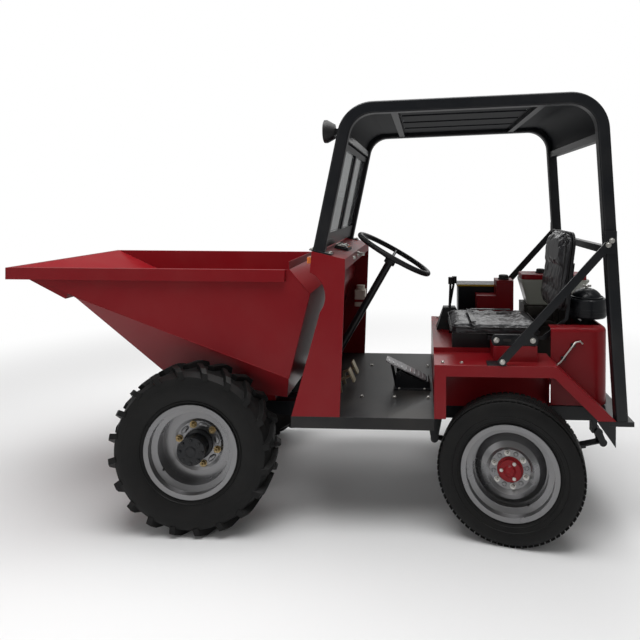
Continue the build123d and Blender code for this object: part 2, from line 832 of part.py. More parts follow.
pedal_x = 165
pedal_lean = 65
with BuildPart() as pedals:
    for y in (seat_y - 70, seat_y + 70):
        plate([
            (104, deck_top),
            (100, deck_top + 68),
            (pedal_x, deck_top + 97),
            (pedal_x, deck_top + 85),
            (112, deck_top + 60),
            (118, deck_top),
        ], y - 8, 16)
        pad_normal = (sin(radians(pedal_lean)), 0, cos(radians(pedal_lean)))
        with BuildSketch(Plane((pedal_x, y, deck_top + 91), z_dir=pad_normal)):
            RectangleRounded(74, 58, 8)
        extrude(amount=8)
pedals.part.label = "pedals"
export_step(pedals.part, "parts/pedals.step")

reservoir_x = 134
reservoir_y = half_body - 75
reservoir_z = (886, 990)
with BuildPart() as brake_reservoir:
    with BuildSketch(Plane((reservoir_x, reservoir_y, reservoir_z[0]))):
        RectangleRounded(70, 90, 12)
    extrude(amount=reservoir_z[1] - reservoir_z[0])
    pipe((reservoir_x, reservoir_y, reservoir_z[1]), (reservoir_x, reservoir_y, reservoir_z[1] + 28), 28)
    block((reservoir_x - 25, reservoir_x + 15), (reservoir_y + 40, half_body - sheet - seat_gap), (900, 940))
brake_reservoir.part.label = "brake_reservoir"
export_step(brake_reservoir.part, "parts/brake_reservoir.step")

# ================================================================ fenders, pedestal and panels
foot_z = deck_top + 3
for side, s in SIDES:
    with BuildPart() as fender:
        # Outer face: an upright, a level and a slanting band
        plate([
            (deck_rear_x, deck_top),
            (deck_rear_x, fender_top),
            (fender_rear_x, fender_top),
            (slant_foot_x, foot_z),
            (slant_foot_x - 80, foot_z),
            (fender_rear_x - 14, fender_top - fender_band),
            (deck_rear_x + 55, fender_top - fender_band),
            (deck_rear_x + 55, deck_top),
        ], -half_body, sheet)
        # Front wall and top, then the inner wall
        plate([
            (deck_rear_x, deck_top),
            (deck_rear_x, fender_top),
            (fender_rear_x, fender_top),
            (fender_rear_x, fender_top - sheet),
            (deck_rear_x + sheet, fender_top - sheet),
            (deck_rear_x + sheet, deck_top),
        ], -half_body, half_body - fender_inner_span / 2)
        inner_y = (-fender_inner_span / 2 - sheet, -fender_inner_span / 2)
        block((deck_rear_x, fender_rear_x), inner_y, (rail_top, fender_top))
        # Slanting cover outside the hood
        plate([
            (fender_rear_x, fender_top),
            (slant_foot_x - 8, deck_top + 10),
            (slant_foot_x - 12, deck_top + 10),
            (fender_rear_x - 2, fender_top - sheet),
        ], -half_body, half_body - hood_half_width - 6)
        if s > 0:
            mirror(about=Plane.XZ, mode=Mode.REPLACE)
    fender.part.label = f"fender_{side}"
    export_step(fender.part, f"parts/fender_{side}.step")

pedestal_rear_x = 1090
bracket_x = (884, 1092)
with BuildPart() as seat_pedestal:
    side_walls = (-pedestal_half_width, pedestal_half_width)
    block((deck_rear_x, pedestal_rear_x), side_walls, (deck_top, pedestal_top))
    block(
        (deck_rear_x + sheet, pedestal_rear_x - sheet),
        (sheet - pedestal_half_width, pedestal_half_width - sheet),
        (deck_top, pedestal_top - sheet),
        Mode.SUBTRACT,
    )
    # Box on the left fender under the seat's slotted rail
    block(bracket_x, (-470, -340), (fender_top + seat_gap, 876))
seat_pedestal.part.label = "seat_pedestal"
export_step(seat_pedestal.part, "parts/seat_pedestal.step")

cushion_bottom = cushion_top - cushion_thick
cushion_middle_x = cushion_front_x + cushion_length / 2
back_foot = (1200, cushion_top + back_rise)
with BuildPart() as seat_frame:
    for y in (seat_y - 165, seat_y + 135):
        block((cushion_front_x + 10, 1134), (y, y + 30), (pedestal_top + seat_gap, cushion_bottom))
    pan_x = (cushion_front_x + 15, 1129)
    block(pan_x, (seat_y - 160, seat_y + 160), (cushion_bottom - 9, cushion_bottom - 1))
    # Slotted rail towards the left, over the box on the fender
    plate([(872, 876.3), (872, 896), (1112, 896), (1112, 876.3)], -349, 8)
    block((872, 1112), (-341, seat_y - 160), (888, 896))
    # Upright arms behind the cushion that hold the back
    lean = tan(radians(back_lean))
    arm_x = back_foot[0] + back_thick / cos(radians(back_lean)) + seat_gap
    for y in (seat_y - 172, seat_y + 164):
        plate([
            (1000, cushion_bottom - 30),
            (1000, cushion_bottom - 12),
            (1150, cushion_bottom - 12),
            (arm_x + lean * (22 - back_rise), cushion_top + 22),
            (arm_x + lean * (300 - back_rise), cushion_top + 300),
            (arm_x + lean * (300 - back_rise) + 14, cushion_top + 300),
            (arm_x + 12, cushion_top + 17),
            (1165, cushion_bottom - 30),
        ], y, 8)
seat_frame.part.label = "seat_frame"
export_step(seat_frame.part, "parts/seat_frame.step")

with BuildPart() as seat_cushion:
    with BuildSketch(Plane((cushion_middle_x, seat_y, cushion_bottom + seat_gap))):
        RectangleRounded(cushion_length, cushion_width, 50)
    extrude(amount=cushion_thick)
seat_cushion.part.label = "seat_cushion"
export_step(seat_cushion.part, "parts/seat_cushion.step")

back_normal = (cos(radians(back_lean)), 0, -sin(radians(back_lean)))
with BuildPart() as seat_back:
    with BuildSketch(Plane((back_foot[0], seat_y, back_foot[1]), x_dir=(0, 1, 0), z_dir=back_normal)):
        with Locations((0, back_height / 2)):
            RectangleRounded(cushion_width - 20, back_height, 55)
    extrude(amount=back_thick)
seat_back.part.label = "seat_back"
export_step(seat_back.part, "parts/seat_back.step")

# ================================================================ engine and its hood
engine_side = engine_y - engine_width / 2
with BuildPart() as engine_block:
    block(
        (engine_x - engine_length / 2, engine_x + engine_length / 2),
        (engine_side, engine_y + engine_width / 2),
        (rail_top + seat_gap, engine_top),
    )
    bar((engine_x - 20, 730), 150, engine_side - 60, 60)
engine_block.part.label = "engine_block"
export_step(engine_block.part, "parts/engine_block.step")

hopper_x = engine_x + 50
hopper_rim_z = 1100
with BuildPart() as water_hopper:
    with BuildSketch(Plane((engine_x + 10, engine_y, engine_top + seat_gap))):
        RectangleRounded(240, 150, 20)
    with BuildSketch(Plane((hopper_x, engine_y, hopper_rim_z))):
        RectangleRounded(396, 190, 30)
    loft()
    with BuildSketch(Plane((hopper_x, engine_y, hopper_rim_z))):
        RectangleRounded(396, 190, 30)
    extrude(amount=12)
water_hopper.part.label = "water_hopper"
export_step(water_hopper.part, "parts/water_hopper.step")

with BuildPart() as fuel_tank:
    with BuildSketch(Plane((hopper_x - 5, engine_y, hopper_rim_z + 12 + seat_gap))):
        RectangleRounded(380, 170, 30)
    extrude(amount=30)
    fillet(fuel_tank.faces().sort_by(Axis.Z)[-1].edges(), 12)
fuel_tank.part.label = "fuel_tank"
export_step(fuel_tank.part, "parts/fuel_tank.step")

cleaner_x = rear_axle_x + 424
cleaner_floor = 971
drum_height = 98
with BuildPart() as air_cleaner:
    with BuildSketch(Plane((cleaner_x, cleaner_y, 0), x_dir=(1, 0, 0), z_dir=(0, -1, 0))):
        with BuildLine() as drum:
            Polyline(
                (0, cleaner_floor - 66),
                (28, cleaner_floor - 66),
                (28, cleaner_floor - 12),
                (cleaner_radius - 30, cleaner_floor),
                (cleaner_radius - 4, cleaner_floor),
                (cleaner_radius, cleaner_floor + 8),
                (cleaner_radius, cleaner_floor + drum_height - 6),
                (cleaner_radius - 6, cleaner_floor + drum_height),
                (78, cleaner_floor + drum_height),
            )
            ThreePointArc(
                (78, cleaner_floor + drum_height),
                (52, cleaner_floor + drum_height + 36),
                (16, cleaner_floor + drum_height + 49),
            )
            Polyline(
                (16, cleaner_floor + drum_height + 49),
                (0, cleaner_floor + drum_height + 49),
                (0, cleaner_floor - 66),
            )
        make_face(drum.edges())
    revolve(axis=Axis((cleaner_x, cleaner_y, 0), (0, 0, 1)))
    block((cleaner_x - 20, cleaner_x + 15), (cleaner_y + 10, engine_side - seat_gap), (912, 936))
air_cleaner.part.label = "air_cleaner"
export_step(air_cleaner.part, "parts/air_cleaner.step")

hood_corner = 70
hood_crown = 25
hood_rim_width = 60
hood_middle_x = (hood_front_x + hood_rear_x) / 2
with BuildPart() as rear_hood:
    block((hood_front_x, hood_rear_x), (-hood_half_width, hood_half_width), (hood_bottom, hood_top))
    fillet(rear_hood.edges().filter_by(Axis.Z).group_by(Axis.X)[-1], hood_corner)
    top_edges = rear_hood.faces().sort_by(Axis.Z)[-1].edges()
    fillet(top_edges.filter_by(lambda e: e.center().X > hood_front_x + 1), hood_crown)
    open_front = rear_hood.faces().sort_by(Axis.X)[0]
    open_floor = rear_hood.faces().sort_by(Axis.Z)[0]
    offset(amount=-sheet, openings=[open_front, open_floor])
    # The top is left open around the engine
    with BuildSketch(Plane((0, 0, hood_top - 60))):
        with Locations((hood_middle_x - 28, 0)):
            Rectangle(hood_length, 2 * (hood_half_width - hood_rim_width))
    extrude(amount=100, mode=Mode.SUBTRACT)
    for y in hinge_ys:
        bar((hinge_x, hinge_z), hinge_x - hood_rear_x + 1, y - 12, 24)
        bar((hinge_x, hinge_z), hinge_pin_radius + running_gap, y - 12, 24, Mode.SUBTRACT)
rear_hood.part.label = "rear_hood"
export_step(rear_hood.part, "parts/rear_hood.step")

tank_floor = pedestal_top + seat_gap
tank_y = (190, 305)
with BuildPart() as oil_tank:
    block((983, 1086), tank_y, (tank_floor, 1098))
    block((868, 983), tank_y, (tank_floor, 1004))
oil_tank.part.label = "oil_tank"
export_step(oil_tank.part, "parts/oil_tank.step")

with BuildPart() as battery_box:
    block((764, 1022), (330, 470), (fender_top + seat_gap, 1052))
    block((756, 1030), (322, 478), (1040, 1052))
battery_box.part.label = "battery_box"
export_step(battery_box.part, "parts/battery_box.step")

lever_x = 690
lever_y = 130
boot_base = 60
with BuildPart() as gear_lever:
    with BuildSketch(Plane((lever_x + 20, lever_y, pedestal_top + seat_gap))):
        Rectangle(170, 2 * boot_base)
    with BuildSketch(Plane((lever_x + 10, lever_y, 950))):
        Rectangle(70, 60)
    loft()
    for y, reach in ((lever_y - 18, 16), (lever_y + 18, 40)):
        pipe((lever_x + 10, y, 930), (lever_x + reach, y, 1105), 7)
        pipe((lever_x + reach, y, 1085), (lever_x + reach, y, 1125), 14)
gear_lever.part.label = "gear_lever"
export_step(gear_lever.part, "parts/gear_lever.step")

# ================================================================ roll-over frame
post_foot_z = console_top_z - 5.9
front_foot_x = 50
front_lean = tan(radians(front_post_lean))
rear_lean = tan(radians(rear_post_lean))
front_corner_z = roof_front_z - hoop_tube / 2
rear_corner_z = roof_rear_z - hoop_tube / 2


def front_post_x(z):
    """Middle of the front post at this height."""
    return front_foot_x + front_lean * (z - post_foot_z)


def rear_post_x(z):
    """Middle of the rear post at this height."""
    return post_foot_x - rear_lean * (z - deck_top)


front_corner = (front_post_x(front_corner_z), front_corner_z)
rear_corner = (rear_post_x(rear_corner_z), rear_corner_z)
for side, s in SIDES:
    with BuildPart() as hoop:
        y = s * hoop_y
        with BuildLine() as centre_line:
            FilletPolyline(
                (front_foot_x, y, post_foot_z),
                (front_corner[0], y, front_corner[1]),
                (rear_corner[0], y, rear_corner[1]),
                (post_foot_x, y, deck_top + 2),
                radius=hoop_bend,
            )
        with BuildSketch(Plane(centre_line.line @ 0, x_dir=(0, 1, 0), z_dir=centre_line.line % 0)):
            RectangleRounded(hoop_tube, hoop_tube, 10)
        sweep()
    hoop.part.label = f"hoop_{side}"
    export_step(hoop.part, f"parts/hoop_{side}.step")

# One sheet that follows the hoops from bar to bar, with three pressed ribs over the driver
canopy_sheet = 3
canopy_width = 2 * post_inner
rib_width = 46
rib_height = 9
rib_spacing = 240
roof_angle = atan2(rear_corner_z - front_corner_z, rear_corner[0] - front_corner[0])
roof_plane = Plane(
    (front_corner[0], 0, front_corner_z),
    x_dir=(cos(roof_angle), 0, sin(roof_angle)),
    z_dir=(-sin(roof_angle), 0, cos(roof_angle)),
)
roof_run = hypot(rear_corner[0] - front_corner[0], rear_corner_z - front_corner_z)
rib_run = (240, roof_run - 290)


def rib_profile(shrink):
    """Cross-section of a pressed rib, looking along the roof."""
    half_foot = rib_width / 2 - shrink
    crest = canopy_sheet / 2 + rib_height - shrink
    foot = -canopy_sheet / 2 - 1
    outline([(-half_foot, foot), (half_foot, foot), (half_foot - 9, crest), (9 - half_foot, crest)])


with BuildPart() as canopy:
    with BuildLine() as canopy_line:
        FilletPolyline(
            (front_post_x(canopy_front_z), 0, canopy_front_z),
            (front_corner[0], 0, front_corner[1]),
            (rear_corner[0], 0, rear_corner[1]),
            (rear_post_x(canopy_rear_z), 0, canopy_rear_z),
            radius=canopy_bend,
        )
    with BuildSketch(Plane(canopy_line.line @ 0, x_dir=(0, 1, 0), z_dir=canopy_line.line % 0)):
        Rectangle(canopy_width, canopy_sheet)
    sweep()
    for y in (-rib_spacing, 0, rib_spacing):
        rib_origin = roof_plane.from_local_coords(Vector(rib_run[0], y, 0))
        rib_plane = Plane(rib_origin, x_dir=(0, 1, 0), z_dir=tuple(roof_plane.x_dir))
        with BuildSketch(rib_plane):
            rib_profile(0)
        extrude(amount=rib_run[1] - rib_run[0])
        with BuildSketch(rib_plane):
            rib_profile(3)
        extrude(amount=rib_run[1] - rib_run[0], mode=Mode.SUBTRACT)
canopy.part.label = "canopy"
export_step(canopy.part, "parts/canopy.step")

bar_size = 34
bar_drop = canopy_sheet / 2 + seat_gap
with BuildPart() as roof_bars:
    for run in (rib_run[0] - 26, rib_run[1] + 26):
        with BuildSketch(roof_plane.offset(-bar_drop - 22)):
            with Locations((run, 0)):
                Rectangle(bar_size, canopy_width)
        extrude(amount=22)
    header_z = canopy_front_z - 18 - seat_gap
    tail_z = canopy_rear_z - 18 - seat_gap
    for x, z in (
        (front_post_x(header_z), header_z),
        (rear_post_x(tail_z), tail_z),
        (rear_post_x(back_bar_z), back_bar_z),
    ):
        block((x - 18, x + 18), (-post_inner, post_inner), (z - 18, z + 18))
roof_bars.part.label = "roof_bars"
export_step(roof_bars.part, "parts/roof_bars.step")

# Flat braces from plates on the rear posts down to the fenders
brace_foot = (903, fender_top + brace_thick)
brace_head = (rear_post_x(1384) - 4, 1384)
brace_width = 38
brace_way = Vector(brace_head[0] - brace_foot[0], brace_head[1] - brace_foot[1], 0).normalized()
brace_half = Vector(-brace_way.Y, brace_way.X, 0) * (brace_width / 2)
for side, s in SIDES:
    with BuildPart() as brace:
        y = -half_hoop - brace_thick - seat_gap
        foot_end = Vector(*brace_foot, 0)
        head_end = Vector(*brace_head, 0)
        corners = [foot_end + brace_half, head_end + brace_half, head_end - brace_half, foot_end - brace_half]
        plate([(corner.X, corner.Y) for corner in corners], y, brace_thick)
        plate([
            (brace_head[0] - 26, 1329),
            (brace_head[0] - 26, 1435),
            (brace_head[0] + 26, 1435),
            (brace_head[0] + 26, 1329),
        ], y, brace_thick)
        block((-160, 2000), (y - 1, y + 30), (fender_top - 60, fender_top + seat_gap), Mode.SUBTRACT)
        foot_y = (-half_body + 2, -half_body + 66)
        foot_x = (brace_foot[0] - 56, brace_foot[0] + 32)
        block(foot_x, foot_y, (fender_top + seat_gap, fender_top + seat_gap + 7))
        if s > 0:
            mirror(about=Plane.XZ, mode=Mode.REPLACE)
    brace.part.label = f"brace_{side}"
    export_step(brace.part, f"parts/brace_{side}.step")

# Windscreen of two panes between the front posts, with a closed panel at its foot
screen_normal = (cos(radians(front_post_lean)), 0, -sin(radians(front_post_lean)))
screen_plane = Plane((front_foot_x, 0, post_foot_z), x_dir=(0, 1, 0), z_dir=screen_normal)
screen_bottom = 16
screen_top = (canopy_front_z - 38 - post_foot_z) / cos(radians(front_post_lean)) - 5
pane_bottom = screen_bottom + 74
pane_top = screen_top - 30
pane_width = post_inner - 45
pane_height = pane_top - pane_bottom
pane_places = [(t * post_inner / 2, (pane_bottom + pane_top) / 2) for t in (-1, 1)]
with BuildPart() as windscreen_frame:
    with BuildSketch(screen_plane.offset(-12)):
        with Locations((0, (screen_bottom + screen_top) / 2)):
            Rectangle(2 * post_inner, screen_top - screen_bottom)
        with Locations(*pane_places):
            Rectangle(pane_width, pane_height, mode=Mode.SUBTRACT)
    extrude(amount=24)
windscreen_frame.part.label = "windscreen_frame"
export_step(windscreen_frame.part, "parts/windscreen_frame.step")

with BuildPart() as windscreen_glass:
    with BuildSketch(screen_plane.offset(-2)):
        with Locations(*pane_places):
            Rectangle(pane_width - 2 * seat_gap, pane_height - 2 * seat_gap)
    extrude(amount=4)
windscreen_glass.part.label = "windscreen_glass"
export_step(windscreen_glass.part, "parts/windscreen_glass.step")

lamp_z = 1900
lamp_radius = 55
with BuildPart() as work_lamps:
    post_face = front_post_x(lamp_z) - hoop_tube / 2 / cos(radians(front_post_lean))
    for s in (-1, 1):
        lamp_y = s * (half_hoop - 45)
        with BuildSketch(Plane((post_face - 16, lamp_y, lamp_z), z_dir=(-1, 0, 0))):
            Circle(lamp_radius - 20)
        with BuildSketch(Plane((post_face - 52, lamp_y, lamp_z), z_dir=(-1, 0, 0))):
            Circle(lamp_radius)
        loft()
        pipe((post_face - 52, lamp_y, lamp_z), (post_face - 64, lamp_y, lamp_z), lamp_radius)
        plate([
            (post_face + front_lean * -13 - seat_gap, lamp_z - 13),
            (post_face + front_lean * 13 - seat_gap, lamp_z + 13),
            (post_face - 24, lamp_z + 13),
            (post_face - 24, lamp_z - 13),
        ], lamp_y - 15, 30)
work_lamps.part.label = "work_lamps"
export_step(work_lamps.part, "parts/work_lamps.step")

# ================================================================ skip
side_y = skip_width / 2 - skip_rim_thickness
shell_front_x = skip_front_x + skip_rim_thickness
knee_rise = (skip_crease_rear_z - skip_bottom) / (skip_knee[1] - skip_bottom)
crease_rear_x = skip_bottom_rear_x + (skip_knee[0] - skip_bottom_rear_x) * knee_rise
with BuildPart() as skip_shell:
    plate([
        (shell_front_x, skip_rim_top),
        skip_crease_front,
        (skip_bottom_front_x, skip_bottom),
        (skip_bottom_rear_x, skip_bottom),
        skip_knee,
        (skip_shell_rear_x, skip_rim_top),
    ], -side_y, 2 * side_y)
    # Folded lower sides that draw in towards the floor
    crease_front = Vector(skip_crease_front[0], -side_y, skip_crease_front[1])
    crease_rear = Vector(crease_rear_x, -side_y, skip_crease_rear_z)
    corner = Vector(skip_bottom_rear_x, -skip_bottom_rear_width / 2, skip_bottom)
    normal = (crease_rear - crease_front).cross(corner - crease_front).normalized()
    if normal.Y > 0:
        normal = -normal
    for s in (1, -1):
        fold = Plane((crease_front.X, -s * side_y, crease_front.Z), z_dir=(normal.X, s * normal.Y, normal.Z))
        split(bisect_by=fold, keep=Keep.BOTTOM)
    offset(amount=-skip_wall, openings=skip_shell.faces().sort_by(Axis.Z)[-1], kind=Kind.INTERSECTION)
    # Upstand along the top of the rear wall
    block(
        (skip_shell_rear_x - skip_wall, skip_shell_rear_x),
        (-side_y, side_y),
        (skip_rim_top, skip_rim_top + upstand_height),
    )
skip_shell.part.label = "skip_shell"
export_step(skip_shell.part, "parts/skip_shell.step")

with BuildPart() as skip_rim:
    with BuildSketch(Plane((0, 0, skip_rim_top - skip_rim_height))):
        outline([
            (skip_rear_x, -skip_width / 2),
            (skip_front_x, -skip_width / 2),
            (skip_front_x, skip_width / 2),
            (skip_rear_x, skip_width / 2),
            (skip_rear_x, side_y),
            (shell_front_x, side_y),
            (shell_front_x, -side_y),
            (skip_rear_x, -side_y),
        ])
    extrude(amount=skip_rim_height)
skip_rim.part.label = "skip_rim"
export_step(skip_rim.part, "parts/skip_rim.step")

# Ears and rest pads under the skip
pivot_x, pivot_z = skip_pivot
eye_x, eye_z = cylinder_eye
with BuildPart() as skip_brackets:
    for y in (-181, 169):
        plate([
            (pivot_x - 32, pivot_z),
            (skip_bottom_front_x - 37, skip_bottom + 35),
            (skip_bottom_front_x, skip_bottom),
            (skip_bottom_front_x + 120, skip_bottom),
            (pivot_x + 32, pivot_z),
        ], y, 12)
        bar(skip_pivot, 32, y, 12)
        bar(skip_pivot, skip_pivot_radius + running_gap, y, 12, Mode.SUBTRACT)
    for y in (-28, 18):
        plate([
            (eye_x - 26, eye_z),
            (eye_x - 60, skip_bottom),
            (eye_x + 60, skip_bottom),
            (eye_x + 26, eye_z),
        ], y, 10)
        bar(cylinder_eye, 26, y, 10)
    # Rest pads that sit on the rails
    for s in (-1, 1):
        block((-300, -220), (s * rail_y - 20, s * rail_y + 20), (rail_top + seat_gap, skip_bottom))
skip_brackets.part.label = "skip_brackets"
export_step(skip_brackets.part, "parts/skip_brackets.step")

# ================================================================ tipping cylinder
reach = Vector(cylinder_eye[0] - cylinder_base[0], 0, cylinder_eye[1] - cylinder_base[1])
ram_axis = reach.normalized()
base_point = Vector(cylinder_base[0], 0, cylinder_base[1])
barrel_end = reach.length - 75
lug_half = 33 - seat_gap
piston_at = 60


def along(distance):
    """Point on the cylinder's axis at this distance from its base pin."""
    return tuple(base_point + ram_axis * distance)


with BuildPart() as cylinder_barrel:
    pipe(along(20), along(barrel_end), barrel_radius)
    bar(cylinder_base, 28, -lug_half, 2 * lug_half)
    pipe(along(45), along(barrel_end - 30), barrel_radius - barrel_wall, Mode.SUBTRACT)
    pipe(along(piston_at), along(barrel_end + 1), rod_radius + running_gap, Mode.SUBTRACT)
    bar(cylinder_base, cylinder_pin_radius + running_gap, -50, 100, Mode.SUBTRACT)
cylinder_barrel.part.label = "cylinder_barrel"
export_step(cylinder_barrel.part, "parts/cylinder_barrel.step")

with BuildPart() as cylinder_rod:
    pipe(along(piston_at), along(reach.length - 15), rod_radius)
    pipe(along(piston_at), along(piston_at + 40), barrel_radius - barrel_wall - running_gap)
    bar(cylinder_eye, 23, -15, 30)
    bar(cylinder_eye, cylinder_pin_radius, -20, 40, Mode.SUBTRACT)
cylinder_rod.part.label = "cylinder_rod"
export_step(cylinder_rod.part, "parts/cylinder_rod.step")
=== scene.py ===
"""Site dumper: the finishes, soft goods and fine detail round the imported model.

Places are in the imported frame, in metres: -X is the way the machine drives, -Y its left side, +Z up.
Each sub-assembly has a class of its own, and each finish is a small frozen dataclass.
"""
import json
import logging
import math
from dataclasses import dataclass, field
from enum import Enum
from typing import ClassVar

import bmesh
import bpy
from mathutils import Matrix, Vector, noise


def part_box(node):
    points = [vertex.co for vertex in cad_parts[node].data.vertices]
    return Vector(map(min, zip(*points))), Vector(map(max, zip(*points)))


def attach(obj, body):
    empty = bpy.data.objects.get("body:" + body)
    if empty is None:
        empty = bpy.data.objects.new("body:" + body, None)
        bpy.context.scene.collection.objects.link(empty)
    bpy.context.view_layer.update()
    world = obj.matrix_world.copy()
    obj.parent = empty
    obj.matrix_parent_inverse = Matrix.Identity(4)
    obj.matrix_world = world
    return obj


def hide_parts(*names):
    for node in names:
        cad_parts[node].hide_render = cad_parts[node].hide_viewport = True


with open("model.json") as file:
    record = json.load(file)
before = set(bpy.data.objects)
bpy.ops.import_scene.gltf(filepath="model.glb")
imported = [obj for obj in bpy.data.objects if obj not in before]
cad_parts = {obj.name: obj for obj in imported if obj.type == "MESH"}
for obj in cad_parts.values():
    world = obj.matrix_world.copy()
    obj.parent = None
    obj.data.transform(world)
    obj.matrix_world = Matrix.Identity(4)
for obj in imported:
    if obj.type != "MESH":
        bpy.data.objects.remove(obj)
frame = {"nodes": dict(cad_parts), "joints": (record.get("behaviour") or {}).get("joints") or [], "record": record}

log = logging.getLogger("site_dumper")

Colour = tuple[float, float, float]
Point = tuple[float, float, float]
Flat = tuple[float, float]
Outline = list[Flat] | tuple[Flat, ...]
Tree = bpy.types.NodeTree
Node = bpy.types.Node
Inputs = dict[str | int, object]
Socket = bpy.types.NodeSocket

SIDES = (("left", -1), ("right", 1))
UP, LEFT, REAR = (0, 0, 1), (0, -1, 0), (1, 0, 0)
LIT_WHITE = (1.0, 1.0, 1.0, 1.0)
TINY = 1e-6


class Slot(Enum):
    """The record's material slots, and one more for the stage, which takes none."""

    RED = "red_paint"
    BLACK = "black_frame"
    DECK = "deck_grey"
    PLASTIC = "black_plastic"
    AMBER = "amber_lens"
    ZINC = "zinc"
    WHITE = "white_plastic"
    SEAT = "seat_cover"
    ENGINE = "engine_green"
    GLASS = "glass"
    TYRE = "tyre"
    RIM = "silver_rim"
    ROD = "bright_rod"
    STAGE = "stage"


# ---------------------------------------------------------------- shader nodes
def feed(tree: Tree, node: Node, inputs: Inputs) -> None:
    """Link or set a node's inputs.

    Args:
        tree: the node's tree.
        node: the node.
        inputs: what each input gets, by name or number: another node's output, or a plain value.
    """
    for label, value in inputs.items():
        if isinstance(value, Socket):
            tree.links.new(value, node.inputs[label])
        else:
            node.inputs[label].default_value = value


def add(tree: Tree, kind: str, inputs: Inputs, **options: object) -> Node:
    """Add a shader node.

    Args:
        tree: the tree that it joins.
        kind: its type.
        inputs: what each input gets, as for feed.
        options: its own settings.

    Returns:
        The node.
    """
    node = tree.nodes.new(kind)
    for option, value in options.items():
        setattr(node, option, value)
    feed(tree, node, inputs)
    return node


